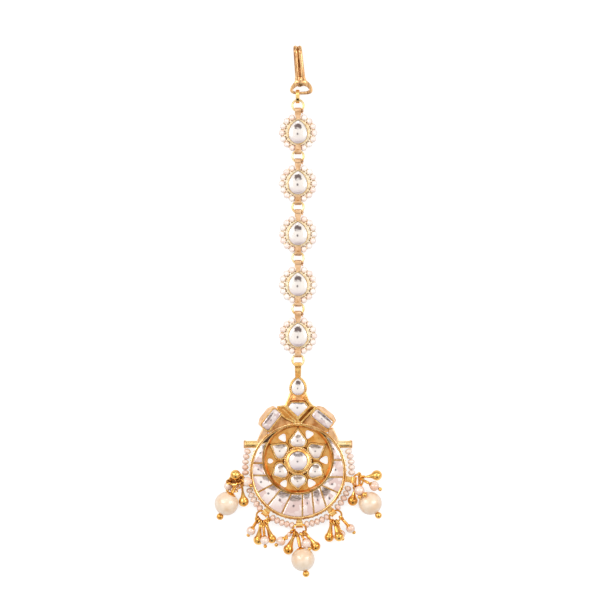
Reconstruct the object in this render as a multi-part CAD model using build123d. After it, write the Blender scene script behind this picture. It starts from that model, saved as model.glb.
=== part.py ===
from build123d import *
import math
import os

os.makedirs("parts", exist_ok=True)

# A maang tikka laid flat on its back: a hair hook, five pearl-edged stations and a kundan pendant with
# five clusters of drops. Millimetres. The origin is the middle of the pendant's flower on the resting
# plane, +Y runs up to the hook and +Z is the front. Angles are degrees, anticlockwise from +X.

FIT = 0.06                 # gap between a stone or a bead and the metal that holds it
PLATE = 0.9                # thickness of the back plates
BLUNT = 0.08               # half width of a pear shape at its point

# Chain of stations
STATIONS = 5
STATION_PITCH = 15.22
LOWEST_STATION_Y = 37.5
RING_RISE = 8.1            # from a station's middle up to the chain ring above it
RING_DROP = 7.35           # from the lowest station's middle down to the last ring
RING_RADIUS = 1.68         # to the middle of the wire
RING_WIRE = 0.65
CHAIN_Z = 1.35             # height at which rings and straps meet

# One station, about its middle
STONE_WIDTH = 5.6
STONE_TIP = 4.1            # from the centre of the stone's round end to its point
STONE_SHIFT = -0.48        # the round end's centre, below the middle of the pearl ring
BEZEL = 0.4
CUP_HEIGHT = 2.2
FLANGE_RADIUS = 3.75
FLANGE = 0.5
SEED = 1.8                 # seed pearl diameter
SEED_RING = 4.88
SEEDS_A_SIDE = 7
SEED_FIRST = 22.4          # degrees from the top strap to the first pearl
SEED_STEP = 22.8
SEED_Z = 1.0
THREAD = 0.5
GRAIN = 0.74               # granule diameter
STONE_RISE = 0.7           # a stone's table above its girdle

# Strap loops of the chain: a strip folded round a ring's wire
STRAP_WIDTH = 1.6
FOOT_WIDTH = 1.35         # the strap between a cup and its lower loop
STRAP_WALL = 0.3
STRAP_BORE = (1.04, 0.8)   # along Y, along Z
STRAP_REST = 0.2           # the bore's middle, beyond the wire's nearest point, away from the station
STRAP_NECK = 0.9           # width of a station's neck where it leaves the cup
STRAP_LOW = 0.6            # the straps reach this far below the chain's height
STRAP_HIGH = 0.5           # and this far above it
CUP_END_Y = 3.6            # where the neck leaves the cup
CUP_FOOT_Y = 3.2           # where the foot leaves it, below the middle
LOOP_OVERLAP = 0.6         # a strap ends this far inside the middle of its loop

# Pendant
RIM_Y = -3.15              # centre of the outer rim
RIM_RADIUS = 14.25
RIM_WALL = 0.45
RIM_TOP = 3.2
WELL_Y = 0.6               # centre of the round well that holds the flower
WELL_RADIUS = 10.5         # outside of the well's wall
WELL_WALL = 0.5
WELL_FLOOR = 1.0
WELL_SLOPE = 0.7           # how much narrower the well is at its floor
POCKET_FLOOR = 1.0
CRESCENT_TOP = 3.5

CENTRE_STONE = 5.6
CENTRE_RING = 8.4
CENTRE_TOP = 3.3
PETALS = 6
PETAL_WIDTH = 4.5
PETAL_BASE = 4.3           # where a petal stone starts, from the middle
PETAL_TIP_GAP = 0.75       # between a petal stone's point and the well's wall
PETAL_TOP = 2.6
PETAL_WALL = 0.35
PETAL_TIP_WALL = 0.5
PETAL_FLOOR = 1.2
CENTRE_FLOOR = 1.8
HOLE_APEX = 6.7
HOLE_WIDTH = 2.6

# Divisions between the crescent's stones: degrees about the well's centre where a line leaves the
# well's wall, and degrees about the rim's centre where it meets the rim.
CRESCENT_CUTS = [
    # (inner, outer)
    (151.0, 142.5),
    (186.7, 169.5),
    (208.1, 185.0),
    (225.6, 207.5),
    (240.3, 228.3),
    (259.2, 248.8),
    (277.4, 275.6),
    (293.5, 290.4),
    (308.0, 308.3),
    (311.8, 332.1),
    (329.0, 353.1),
    (358.2, 374.4),
    (400.0, 409.3),
]

# Crown
CROWN_TOP = 2.9
CROWN_FLOOR = 1.1
DROP_Y = 21.66             # centre of the drop stone's round end
DROP_WIDTH = 3.96
DROP_TIP = 3.12
KITE_HALF = 3.0
KITE_Y = 16.1              # height of the kite's side corners
KITE_FOOT = 13.15
KITE_HEAD = 17.75
WING_LENGTH = 6.4
WING_WIDTH = 2.2
WING_TOP = 3.3
WING_WALL = 0.45
WING_SPREAD = 0.7          # how much further out the cup's outer wall stands at its foot
WING_BULGE = 0.45          # and its middle beyond its ends
WINGS = [
    # (side, x, y, turn of the long axis)
    ("left", -8.04, 12.4, 51.6),
    ("right", 7.32, 12.6, -38.6),
]
CROWN_OUTLINE = [
    # (x, y), clockwise as seen from the front, starting beside the drop stone
    (-2.4, 20.6), (-3.6, 17.3), (-4.1, 16.4), (-6.3, 16.0), (-9.6, 8.4), (-6.5, 8.55), (-3.4, 10.3),
    (0.0, 10.87), (3.4, 10.3), (6.5, 8.55), (9.9, 8.6), (5.6, 16.2), (4.5, 16.6), (3.3, 18.0), (2.4, 20.6),
]
CROWN_CELLS = [
    # corners (x, y) of each open cell between the crown's walls
    [(-5.5, 15.5), (-3.75, 15.5), (-1.35, 12.75), (-2.5, 13.1), (-4.4, 14.0)],
    [(-5.2, 13.2), (-3.2, 12.5), (-1.3, 11.8), (-3.6, 11.25), (-6.9, 9.75)],
    [(1.0, 12.2), (3.7, 15.1), (4.0, 14.8), (1.4, 12.1)],
    [(1.9, 11.95), (3.7, 13.4), (6.9, 9.8), (4.0, 11.1)],
]
SHOULDER = [(9.2, 9.6), (10.9, 10.4), (12.9, 6.2), (12.0, 4.6), (9.0, 7.4)]
SHOULDER_TOP = 2.2
DROP_WALL = 0.72
DROP_TIP_WALL = 0.75
CROWN_RISE = 0.5           # a crown or petal stone's table above its girdle
CROWN_SLOPE = 40           # degrees from upright
BAIL_NECK_Y = 24.4
BAIL_NECK = 1.6
BAIL_WIDTH = 1.9

# Side tubes and rim loops
TUBE_Y = 4.95
TUBE_REACH = 16.2
TUBE_DIAMETER = 2.0
TUBE_BORE = 1.0
TUBE_DEPTH = 2.5
TUBE_ROOT = 11.9           # where the tube starts, inside the rim
TUBE_COLLAR = (2.4, 0.5)   # diameter, length
RIM_LOOPS = [
    # (name, degrees about the rim's centre, distance of the loop's bore from it)
    ("left", 192.0, 16.9),
    ("lower_left", 232.0, 15.9),
    ("bottom", 271.5, 16.0),
    ("lower_right", 310.0, 16.2),
    ("right", 351.0, 16.9),
]
LOOP_Z = 1.5
LOOP_WIDTH = 1.9
LOOP_BORE = (1.2, 0.95)    # radially, along Z
LOOP_WALL = 0.3
COLLAR_WALL = 0.42         # wall of the collar at each end of a loop
COLLAR_WIDTH = 0.3

# Strings of seed pearls round the rim
RIM_SEED = 1.52
RIM_SEED_Z = 1.15
RIM_RUNS = [
    # (first pearl's degrees, last pearl's degrees, pearls, distance from the rim's centre)
    (158.5, 181.5, 5, 16.4),
    (201.5, 224.0, 5, 15.95),
    (241.5, 263.5, 5, 16.2),
    (279.5, 302.0, 5, 16.15),
    (318.0, 341.0, 5, 15.9),
    (358.5, 381.5, 5, 16.15),
]

# Jump rings, by the loop they hang on
JUMP_RADIUS = 1.8
JUMP_WIRE = 0.45
JUMP_RISE = {"left": 24.0, "lower_left": 8.0, "bottom": 6.0, "lower_right": 8.0, "right": 24.0}

# Drops
EYE_RADIUS = 0.62          # a drop's own wire loop, to the middle of its wire
EYE_WIRE = 0.34
PIN_WIRE = 0.36
PEARL_BORE = 0.6
NECK_RADIUS = 0.3          # a drop's neck or cap, where it leaves the eye
GOLD_NECK = 0.27           # a gold drop's neck at its ball, as a share of the ball's diameter
CAP = {"big": 0.2, "pearl": 0.27}       # a cap's radius, as a share of its pearl's diameter
CAP_HEIGHT = 0.35          # a cap starts this far above its pearl
END_BALL = {"big": 0.32, "pearl": 0.45}  # the ball on the pin's end, as a share of its pearl's diameter
DROPS = [
    # (cluster, kind, x, y, z, diameter, place on the jump ring in degrees)
    ("left", "gold", -18.7, -4.1, 4.7, 3.1, 278.0),
    ("left", "pearl", -15.2, -6.2, 4.1, 2.9, 102.0),
    ("left", "pearl", -21.5, -7.6, 1.4, 2.6, 140.0),
    ("left", "gold", -16.3, -12.2, 1.6, 3.15, 305.0),
    ("left", "big", -21.4, -12.75, 3.56, 7.1, 240.0),
    ("right", "gold", 23.6, -4.35, 1.6, 3.15, 30.0),
    ("right", "pearl", 22.86, -7.5, 3.6, 2.9, 5.0),
    ("right", "pearl", 18.4, -8.8, 4.9, 3.0, 70.0),
    ("right", "big", 21.6, -12.66, 3.5, 6.95, 285.0),
    ("right", "gold", 16.4, -11.94, 1.6, 3.1, 240.0),
    ("bottom", "gold", -2.88, -26.55, 1.6, 3.1, 225.0),
    ("bottom", "pearl", -5.13, -24.06, 1.5, 2.8, 195.0),
    ("bottom", "big", 1.47, -29.46, 3.52, 7.0, 252.0),
    ("bottom", "gold", 5.22, -25.6, 1.55, 3.0, 322.0),
    ("bottom", "pearl", 2.5, -24.6, 3.9, 2.8, 285.0),
    ("lower_left", "pearl", -14.07, -20.94, 1.4, 2.7, 218.0),
    ("lower_left", "gold", -11.85, -23.7, 1.55, 3.0, 255.0),
    ("lower_left", "pearl", -9.96, -23.7, 3.8, 2.7, 275.0),
    ("lower_left", "gold", -7.86, -23.4, 1.4, 2.7, 298.0),
    ("lower_right", "gold", 9.36, -22.86, 1.5, 2.9, 230.0),
    ("lower_right", "gold", 12.24, -22.56, 4.1, 2.9, 260.0),
    ("lower_right", "pearl", 12.9, -22.0, 1.35, 2.6, 281.0),
    ("lower_right", "pearl", 15.7, -20.25, 1.45, 2.7, 335.0),
]

# Hook and its link
HOOK_WIRE = 1.15
HOOK_TIP_Y = 124.5
HOOK_BEND = 1.4            # radius of the bend over the top, to the middle of the wire
HOOK_Z = 1.6               # height of the eye's cross wire
HOOK_LEG_END_Y = 114.0
HOOK_WIRES_APART = 1.2     # between the middles of the two wires
HOOK_TOP_X = -0.12         # the shank leans to the left
HOOK_NECK_X = 0.7          # the neck, where the two wires leave the eye
HOOK_NECK_Y = 114.6
EYE_X = 0.95
EYE_HALF = 2.85
EYE_Y = 110.1
LINK_X = -0.1
LINK_Y = 109.18
LINK_OUTER = (2.05, 1.6)   # half height along Y, half height along Z
LINK_WALL = 0.55
LINK_WIDTH = 0.95
HOOK_WEB = [
    # (x from the eye's middle, y) of the lower corners of the web that joins the two wires at the neck
    (1.7, 112.9), (0.55, 112.2),
]
WEB_TOP_HALF = 1.0
WEB_Z = (-0.3, 0.75)       # from the eye's height


def polar(radius, degrees, centre_y=0.0):
    """A point at this angle on a circle round (0, centre_y)."""
    turn = math.radians(degrees)
    return (radius * math.cos(turn), centre_y + radius * math.sin(turn))


def pear(width, tip):
    """A face with a round end of this width centred on the origin and its blunted point at (0, tip)."""
    half = width / 2
    round_end = ThreePointArc((-half, 0), (0, -half), (half, 0))
    right = TangentArc((half, 0), (BLUNT, tip), tangent=(0, 1))
    left = TangentArc((-half, 0), (-BLUNT, tip), tangent=(0, 1))
    return make_face([round_end, right, Line((BLUNT, tip), (-BLUNT, tip)), left])


def prism(face, low, high):
    """The face, drawn straight from one height to another."""
    return extrude(Pos(0, 0, low) * face, amount=high - low, dir=(0, 0, 1))


def trapezium(low_width, low_y, high_width, high_y):
    """A face with level ends, even about the Y axis."""
    return make_face(Polyline((-low_width / 2, low_y), (low_width / 2, low_y),
                              (high_width / 2, high_y), (-high_width / 2, high_y), close=True))


def cut_stone(face, low, girdle, table, slope):
    """A stone that is straight up to its girdle and drawn in above it."""
    crown = extrude(Pos(0, 0, girdle) * face, amount=table - girdle, dir=(0, 0, 1), taper=slope)
    return prism(face, low, girdle) + crown


def ball(diameter, x, y, z, turn):
    """A ball whose seam faces this way, clear of a thread that crosses it."""
    return Pos(x, y, z) * Rot(0, 0, turn) * Sphere(diameter / 2)


def loop_barrel(width, bore, wall):
    """A strip folded into a loop: a slot-shaped tube along X, with its bore centred on the origin."""
    long_way, high_way = bore
    outer = SlotOverall(long_way + 2 * wall + 0.1, high_way + 2 * wall)
    inner = SlotOverall(long_way + 0.1, high_way)
    return extrude(Plane.YZ * (outer - inner), amount=width / 2, both=True)


def save(name, shape):
    shape.label = name
    export_step(shape, f"parts/{name}.step")


def as_group(pieces):
    """Several separate solids in one node."""
    return Compound(children=[solid for piece in pieces for solid in piece.solids()])


# ---- Stations ------------------------------------------------------------------------------------

def station_seed(step, side):
    """Middle of a seed pearl, or of the place between two pearls at a half step."""
    turn = 90 + side * (SEED_FIRST + step * SEED_STEP)
    return polar(SEED_RING, turn), turn


def station_setting():
    cup_face = Pos(0, STONE_SHIFT) * pear(STONE_WIDTH + 2 * BEZEL, STONE_TIP + 1.4 * BEZEL)
    hollow = Pos(0, STONE_SHIFT) * pear(STONE_WIDTH + 2 * FIT, STONE_TIP + 1.4 * FIT)
    top_bore = RING_RISE - RING_RADIUS + STRAP_REST
    foot_bore = -(STATION_PITCH - RING_RISE - RING_RADIUS) - STRAP_REST
    low, high = CHAIN_Z - STRAP_LOW, CHAIN_Z + STRAP_HIGH
    body = prism(cup_face, 0, CUP_HEIGHT) + Pos(0, 0, FLANGE / 2) * Cylinder(FLANGE_RADIUS, FLANGE)
    neck = trapezium(STRAP_NECK, CUP_END_Y, STRAP_WIDTH, top_bore - LOOP_OVERLAP)
    foot = trapezium(FOOT_WIDTH, foot_bore + LOOP_OVERLAP, FOOT_WIDTH, -CUP_FOOT_Y)
    body += [
        prism(neck, low, high),
        prism(foot, low, high),
        Pos(0, top_bore, CHAIN_Z) * loop_barrel(STRAP_WIDTH, STRAP_BORE, STRAP_WALL),
        Pos(0, foot_bore, CHAIN_Z) * loop_barrel(STRAP_WIDTH, STRAP_BORE, STRAP_WALL),
    ]
    grains = []
    for side in (-1, 1):
        for gap in range(SEEDS_A_SIDE - 1):
            _, turn = station_seed(gap + 0.5, side)
            grains.append(ball(GRAIN, *polar(FLANGE_RADIUS - 0.05, turn), FLANGE + 0.3, turn))
    body += grains
    return body - prism(hollow, PLATE, CUP_HEIGHT + 1)


def station_stone():
    face = Pos(0, STONE_SHIFT) * pear(STONE_WIDTH, STONE_TIP)
    return cut_stone(face, PLATE + FIT, CUP_HEIGHT, CUP_HEIGHT + STONE_RISE, 45)


def station_string(side):
    """Seven seed pearls on their thread, to the left (1) or the right (-1) of a station."""
    (x0, y0), _ = station_seed(0, side)
    (xm, ym), _ = station_seed((SEEDS_A_SIDE - 1) / 2, side)
    (x1, y1), _ = station_seed(SEEDS_A_SIDE - 1, side)
    path = ThreePointArc((x0, y0, SEED_Z), (xm, ym, SEED_Z), (x1, y1, SEED_Z))
    thread = sweep(Plane(origin=path @ 0, z_dir=path % 0) * Circle(THREAD / 2), path=path)
    for k in range(SEEDS_A_SIDE):
        (x, y), turn = station_seed(k, side)
        thread += ball(SEED, x, y, SEED_Z, turn)
    return thread


def build_stations():
    setting = station_setting()
    stone = station_stone()
    strings = [station_string(1), station_string(-1)]
    for k in range(STATIONS):
        y = LOWEST_STATION_Y + (STATIONS - 1 - k) * STATION_PITCH
        save(f"station_setting_{k + 1}", Pos(0, y) * setting)
        save(f"station_stone_{k + 1}", Pos(0, y) * stone)
        save(f"station_pearls_{k + 1}", as_group([Pos(0, y) * string for string in strings]))
        save(f"chain_ring_{k + 1}", Pos(0, y + RING_RISE, CHAIN_Z) * Torus(RING_RADIUS, RING_WIRE / 2))
    last = Pos(0, LOWEST_STATION_Y - RING_DROP, CHAIN_Z)
    save(f"chain_ring_{STATIONS + 1}", last * Torus(RING_RADIUS, RING_WIRE / 2))


# ---- Pendant -------------------------------------------------------------------------------------

def well_reach(degrees, radius):
    """Distance from the origin to a circle of this radius about the well's centre."""
    turn = math.radians(degrees)
    return WELL_Y * math.sin(turn) + math.sqrt(radius**2 - (WELL_Y * math.cos(turn)) ** 2)


def petal_placed(degrees, face):
    """Turns a pear so that it points away from the middle, with its round end by the centre ring."""
    return Rot(0, 0, degrees - 90) * Pos(0, PETAL_BASE + PETAL_WIDTH / 2) * face


def petal_angles():
    return [90 + 360 / PETALS * k for k in range(PETALS)]


def petal_tip(degrees):
    """Length of a petal stone from its round end's centre to its point."""
    inner_wall = WELL_RADIUS - WELL_WALL - WELL_SLOPE / 2
    return well_reach(degrees, inner_wall) - PETAL_TIP_GAP - PETAL_BASE - PETAL_WIDTH / 2


def bail_height():
    """Middle of the bail's bore, under the last chain ring."""
    return LOWEST_STATION_Y - RING_DROP - RING_RADIUS + STRAP_REST


def rim_and_well():
    disc = Pos(0, RIM_Y, RIM_TOP / 2) * Cylinder(RIM_RADIUS, RIM_TOP)
    bead = Pos(0, RIM_Y, RIM_TOP) * Torus(RIM_RADIUS - RIM_WALL / 2, RIM_WALL / 2)
    pocket = Pos(0, RIM_Y) * Circle(RIM_RADIUS - RIM_WALL) - Pos(0, WELL_Y) * Circle(WELL_RADIUS)
    well_top = WELL_RADIUS - WELL_WALL
    well = Cone(well_top - WELL_SLOPE, well_top, RIM_TOP - WELL_FLOOR,
                align=(Align.CENTER, Align.CENTER, Align.MIN))
    return disc + bead - prism(pocket, POCKET_FLOOR, RIM_TOP + 1) - Pos(0, WELL_Y, WELL_FLOOR) * well


def pierced_hole(degrees):
    """A rounded triangle with its apex towards the middle."""
    far = well_reach(degrees, WELL_RADIUS - WELL_WALL - WELL_SLOPE) - 0.5
    corners = Polyline((HOLE_APEX, 0), (far, HOLE_WIDTH / 2), (far, -HOLE_WIDTH / 2), close=True)
    face = make_face(corners)
    return Rot(0, 0, degrees) * fillet(face.vertices(), 0.35)


def kite(grow):
    """The kite outline: straight sides up to the side corners, and an arched head."""
    half = KITE_HALF + 1.2 * grow
    foot = KITE_FOOT - 1.4 * grow
    head = KITE_HEAD + grow
    return make_face([
        Line((0, foot), (half, KITE_Y)),
        ThreePointArc((half, KITE_Y), (0, head), (-half, KITE_Y)),
        Line((-half, KITE_Y), (0, foot)),
    ])


def wing_cup(x, y, turn):
    """A cup under a wing stone, whose outer side slopes down to a wider foot."""
    long_half = WING_LENGTH / 2 + WING_WALL
    top_half = WING_WIDTH / 2 + WING_WALL
    levels = []
    for z, outer, bulge in ((0, top_half + WING_SPREAD, WING_BULGE), (WING_TOP, top_half, 0.05)):
        outline = Polyline(
            (-long_half, -top_half, z), (long_half, -top_half, z),
            (long_half, outer, z), (long_half / 2, outer + bulge, z),
            (-long_half / 2, outer + bulge, z), (-long_half, outer, z), close=True)
        levels.append(make_face(outline))
    return Pos(x, y) * Rot(0, 0, turn) * loft(levels, ruled=True)


def crown():
    body = prism(make_face(Polyline(*CROWN_OUTLINE, close=True)), 0, CROWN_TOP)
    for side in (-1, 1):
        shoulder = Polyline(*[(side * x, y) for x, y in SHOULDER], close=True)
        body += prism(make_face(shoulder), 0, SHOULDER_TOP)
    drop_cup = pear(DROP_WIDTH + 2 * DROP_WALL, DROP_TIP + DROP_TIP_WALL)
    body += prism(Pos(0, DROP_Y) * drop_cup, 0, CROWN_TOP)
    neck = trapezium(BAIL_NECK, BAIL_NECK_Y, BAIL_WIDTH, bail_height() - LOOP_OVERLAP)
    body += prism(neck, CHAIN_Z - STRAP_LOW, CHAIN_Z + STRAP_HIGH)
    body += Pos(0, bail_height(), CHAIN_Z) * loop_barrel(STRAP_WIDTH, STRAP_BORE, STRAP_WALL)
    for corners in CROWN_CELLS:
        body -= prism(make_face(Polyline(*corners, close=True)), CROWN_FLOOR, CROWN_TOP + 1)
    return body


def rim_loop(degrees, reach):
    """A strap that stands out from the rim and ends in a loop across its own direction."""
    start = RIM_RADIUS - 0.3
    neck_end = reach - LOOP_BORE[0] / 2 - LOOP_WALL / 2
    neck = Pos((start + neck_end) / 2, 0, LOOP_Z) * Box(neck_end - start, LOOP_WIDTH * 0.8, 1.2)
    barrel = Pos(reach, 0, LOOP_Z) * Rot(0, 0, -90) * loop_barrel(LOOP_WIDTH, LOOP_BORE, LOOP_WALL)
    collars = []
    for side in (-1, 1):
        collar = Rot(0, 0, -90) * loop_barrel(COLLAR_WIDTH, LOOP_BORE, COLLAR_WALL)
        collars.append(Pos(reach, side * (LOOP_WIDTH / 2 - 0.1), LOOP_Z) * collar)
    return Pos(0, RIM_Y) * Rot(0, 0, degrees) * (neck + barrel + collars)


def side_tube(side):
    """A short open tube that points sideways out of the rim, with a collar at its end."""
    length = TUBE_REACH - TUBE_ROOT
    collar_size, collar_length = TUBE_COLLAR
    lying = Rot(0, 90, 0)
    tube = Pos(side * (TUBE_ROOT + length / 2), TUBE_Y, LOOP_Z) * lying * Cylinder(TUBE_DIAMETER / 2, length)
    collar = lying * Cylinder(collar_size / 2, collar_length)
    bore = lying * Cylinder(TUBE_BORE / 2, TUBE_DEPTH + 0.2)
    tube += Pos(side * (TUBE_REACH - collar_length / 2), TUBE_Y, LOOP_Z) * collar
    return tube - Pos(side * (TUBE_REACH - TUBE_DEPTH / 2 + 0.1), TUBE_Y, LOOP_Z) * bore


def rim_grains():
    """Granules on the outside of the rim, between the seed pearls."""
    grains = []
    for first, last, count, _ in RIM_RUNS:
        step = (last - first) / (count - 1)
        for k in range(count - 1):
            turn = first + (k + 0.5) * step
            grains.append(ball(GRAIN, *polar(RIM_RADIUS + 0.22, turn, RIM_Y), RIM_SEED_Z, turn))
    return grains


def pendant_frame():
    body = rim_and_well() + crown()
    for _, x, y, turn in WINGS:
        body += wing_cup(x, y, turn)
    body += [rim_loop(degrees, reach) for _, degrees, reach in RIM_LOOPS]
    body += [side_tube(side) for side in (-1, 1)]
    body += rim_grains()
    # the petal cups stand on the well's floor, and the centre ring stands over their inner ends
    for degrees in petal_angles():
        cup = pear(PETAL_WIDTH + 2 * PETAL_WALL, petal_tip(degrees) + PETAL_TIP_WALL)
        body += prism(petal_placed(degrees, cup), WELL_FLOOR / 2, PETAL_TOP)
    for degrees in petal_angles():
        hollow = pear(PETAL_WIDTH + 2 * FIT, petal_tip(degrees) + 1.4 * FIT)
        body -= prism(petal_placed(degrees, hollow), PETAL_FLOOR, RIM_TOP)
    body += Pos(0, 0, CENTRE_TOP / 2) * Cylinder(CENTRE_RING / 2, CENTRE_TOP)
    body -= prism(Circle(CENTRE_STONE / 2 + FIT), CENTRE_FLOOR, CENTRE_TOP + 1)
    for k in range(PETALS):
        body -= prism(pierced_hole(360 / PETALS * k), -1, RIM_TOP)
    # stone pockets of the crown
    drop_pocket = Pos(0, DROP_Y) * pear(DROP_WIDTH + 2 * FIT, DROP_TIP + 1.4 * FIT)
    body -= prism(drop_pocket, CROWN_FLOOR, WING_TOP + 1)
    body -= prism(kite(FIT), CROWN_FLOOR, WING_TOP + 1)
    for _, x, y, turn in WINGS:
        pocket = Rectangle(WING_LENGTH + 2 * FIT, WING_WIDTH + 2 * FIT)
        body -= prism(Pos(x, y) * Rot(0, 0, turn) * pocket, CROWN_FLOOR, WING_TOP + 1)
    return body


def crescent_stone(start, end):
    """The part of the crescent between two divisions, less a fit gap all round."""
    within = Pos(0, RIM_Y) * Circle(RIM_RADIUS - RIM_WALL - FIT)
    ring = within - Pos(0, WELL_Y) * Circle(WELL_RADIUS + FIT)
    corners = []
    for (inner, outer), shift in ((start, FIT), (end, -FIT)):
        near = Vector(*polar(WELL_RADIUS, inner, WELL_Y))
        far = Vector(*polar(RIM_RADIUS - RIM_WALL, outer, RIM_Y))
        along = (far - near).normalized()
        aside = Vector(-along.Y, along.X) * shift
        corners.append((near - along + aside, far + along * 1.5 + aside))
    (near_a, far_a), (near_b, far_b) = corners
    wedge = make_face(Polyline(near_a, far_a, far_b, near_b, close=True))
    middle = (near_a + far_a + near_b + far_b) * 0.25
    face = min((ring & wedge).faces(), key=lambda piece: (piece.center() - middle).length)
    return prism(face, POCKET_FLOOR + FIT, CRESCENT_TOP)


def build_pendant():
    save("pendant_frame", pendant_frame())
    round_face = Circle(CENTRE_STONE / 2).face()
    save("rosette_stone",
         cut_stone(round_face, CENTRE_FLOOR + FIT, CENTRE_TOP, CENTRE_TOP + STONE_RISE, 45))
    for k, degrees in enumerate(petal_angles()):
        face = petal_placed(degrees, pear(PETAL_WIDTH, petal_tip(degrees)))
        stone = cut_stone(face, PETAL_FLOOR + FIT, PETAL_TOP, PETAL_TOP + CROWN_RISE, CROWN_SLOPE)
        save(f"petal_stone_{k + 1}", stone)
    for k in range(len(CRESCENT_CUTS) - 1):
        save(f"crescent_stone_{k + 1}", crescent_stone(CRESCENT_CUTS[k], CRESCENT_CUTS[k + 1]))
    low = CROWN_FLOOR + FIT
    drop = Pos(0, DROP_Y) * pear(DROP_WIDTH, DROP_TIP)
    save("drop_stone", cut_stone(drop, low, CROWN_TOP, CROWN_TOP + CROWN_RISE, CROWN_SLOPE))
    save("kite_stone", cut_stone(kite(0), low, CROWN_TOP, CROWN_TOP + CROWN_RISE, CROWN_SLOPE))
    for side, x, y, turn in WINGS:
        face = Pos(x, y) * Rot(0, 0, turn) * Rectangle(WING_LENGTH, WING_WIDTH)
        stone = cut_stone(face, low, WING_TOP, WING_TOP + CROWN_RISE, CROWN_SLOPE)
        save(f"wing_stone_{side}", stone)
    strings = []
    for first, last, count, reach in RIM_RUNS:
        ends = [(*polar(reach, turn, RIM_Y), RIM_SEED_Z) for turn in (first, (first + last) / 2, last)]
        path = ThreePointArc(*ends)
        string = sweep(Plane(origin=path @ 0, z_dir=path % 0) * Circle(THREAD / 2), path=path)
        for k in range(count):
            turn = first + (last - first) * k / (count - 1)
            string += ball(RIM_SEED, *polar(reach, turn, RIM_Y), RIM_SEED_Z, turn)
        strings.append(string)
    save("rim_pearls", as_group(strings))


# ---- Clusters ------------------------------------------------------------------------------------

def jump_ring_frame(degrees, reach, rise):
    """Plane of a jump ring that passes through a rim loop and rises outwards from it."""
    x, y = polar(reach - 0.28, degrees, RIM_Y)
    outward = Vector(*polar(1, degrees), 0)
    across = Vector(-outward.Y, outward.X, 0)
    climb = math.radians(rise)
    along = outward * math.cos(climb) + Vector(0, 0, math.sin(climb))
    middle = Vector(x, y, LOOP_Z) + along * JUMP_RADIUS
    return middle, across.cross(along)


def drop_parts(kind, spot, size, ring_middle, normal, place):
    """One drop, straight from its place on the jump ring to its bead: its metal and its pearl."""
    normal = normal if normal.Z > 0 else normal * -1
    flat_x = (Vector(1, 0, 0) - normal * normal.X).normalized()
    flat_y = normal.cross(flat_x)
    turn = math.radians(place)
    tangent = flat_y * math.cos(turn) - flat_x * math.sin(turn)
    held = ring_middle + (flat_x * math.cos(turn) + flat_y * math.sin(turn)) * JUMP_RADIUS
    way = (spot - held).normalized()
    eye_axis = (tangent - way * tangent.dot(way)).normalized()
    eye = held + way * (EYE_RADIUS - EYE_WIRE / 2 - JUMP_WIRE / 2 - 2 * FIT)
    eye_end = eye + way * (EYE_RADIUS - 0.05)
    metal = Plane(origin=eye, z_dir=eye_axis) * Torus(EYE_RADIUS, EYE_WIRE / 2)
    reach = (spot - eye_end).length
    upright = (Align.CENTER, Align.CENTER, Align.MIN)
    stem = Plane(origin=eye_end, z_dir=way)
    if kind == "gold":
        neck = stem * Cone(NECK_RADIUS, size * GOLD_NECK, reach - size * 0.4, align=upright)
        return metal + neck + Plane(origin=spot, z_dir=way) * Sphere(size / 2), None
    far = reach + size / 2
    end_ball = size * END_BALL[kind]
    cap_radius = size * CAP[kind]
    cap_foot = reach - math.sqrt((size / 2) ** 2 - cap_radius**2)
    cap_start = reach - size / 2 - CAP_HEIGHT
    cap = Cone(NECK_RADIUS, cap_radius, cap_foot - cap_start, align=upright)
    cap = stem * Pos(0, 0, cap_start) * cap - Plane(origin=spot, z_dir=way) * Sphere(size / 2 + 0.05)
    wire = stem * Cylinder(PIN_WIRE / 2, far + end_ball / 2, align=upright)
    bead_end = stem * Pos(0, 0, far + end_ball / 2 + 0.05) * Sphere(end_ball / 2)
    bead = Plane(origin=spot, z_dir=way) * Sphere(size / 2)
    bead -= Plane(origin=spot, z_dir=way) * Cylinder(PEARL_BORE / 2, size + 1)
    return metal + cap + wire + bead_end, bead


def build_clusters():
    gold_drops, small_pearls, pins = [], [], []
    loops = {name: (degrees, reach) for name, degrees, reach in RIM_LOOPS}
    rings = {}
    for name, (degrees, reach) in loops.items():
        middle, normal = jump_ring_frame(degrees, reach, JUMP_RISE[name])
        rings[name] = (middle, normal)
        save(f"jump_ring_{name}", Plane(origin=middle, z_dir=normal) * Torus(JUMP_RADIUS, JUMP_WIRE / 2))
    for cluster, kind, x, y, z, size, place in DROPS:
        metal, bead = drop_parts(kind, Vector(x, y, z), size, *rings[cluster], place)
        if kind == "gold":
            gold_drops.append(metal)
            continue
        pins.append(metal)
        if kind == "big":
            save(f"big_pearl_{cluster}", bead)
        else:
            small_pearls.append(bead)
    save("gold_drops", as_group(gold_drops))
    save("small_pearls", as_group(small_pearls))
    save("pearl_pins", as_group(pins))


# ---- Hook ----------------------------------------------------------------------------------------

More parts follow.
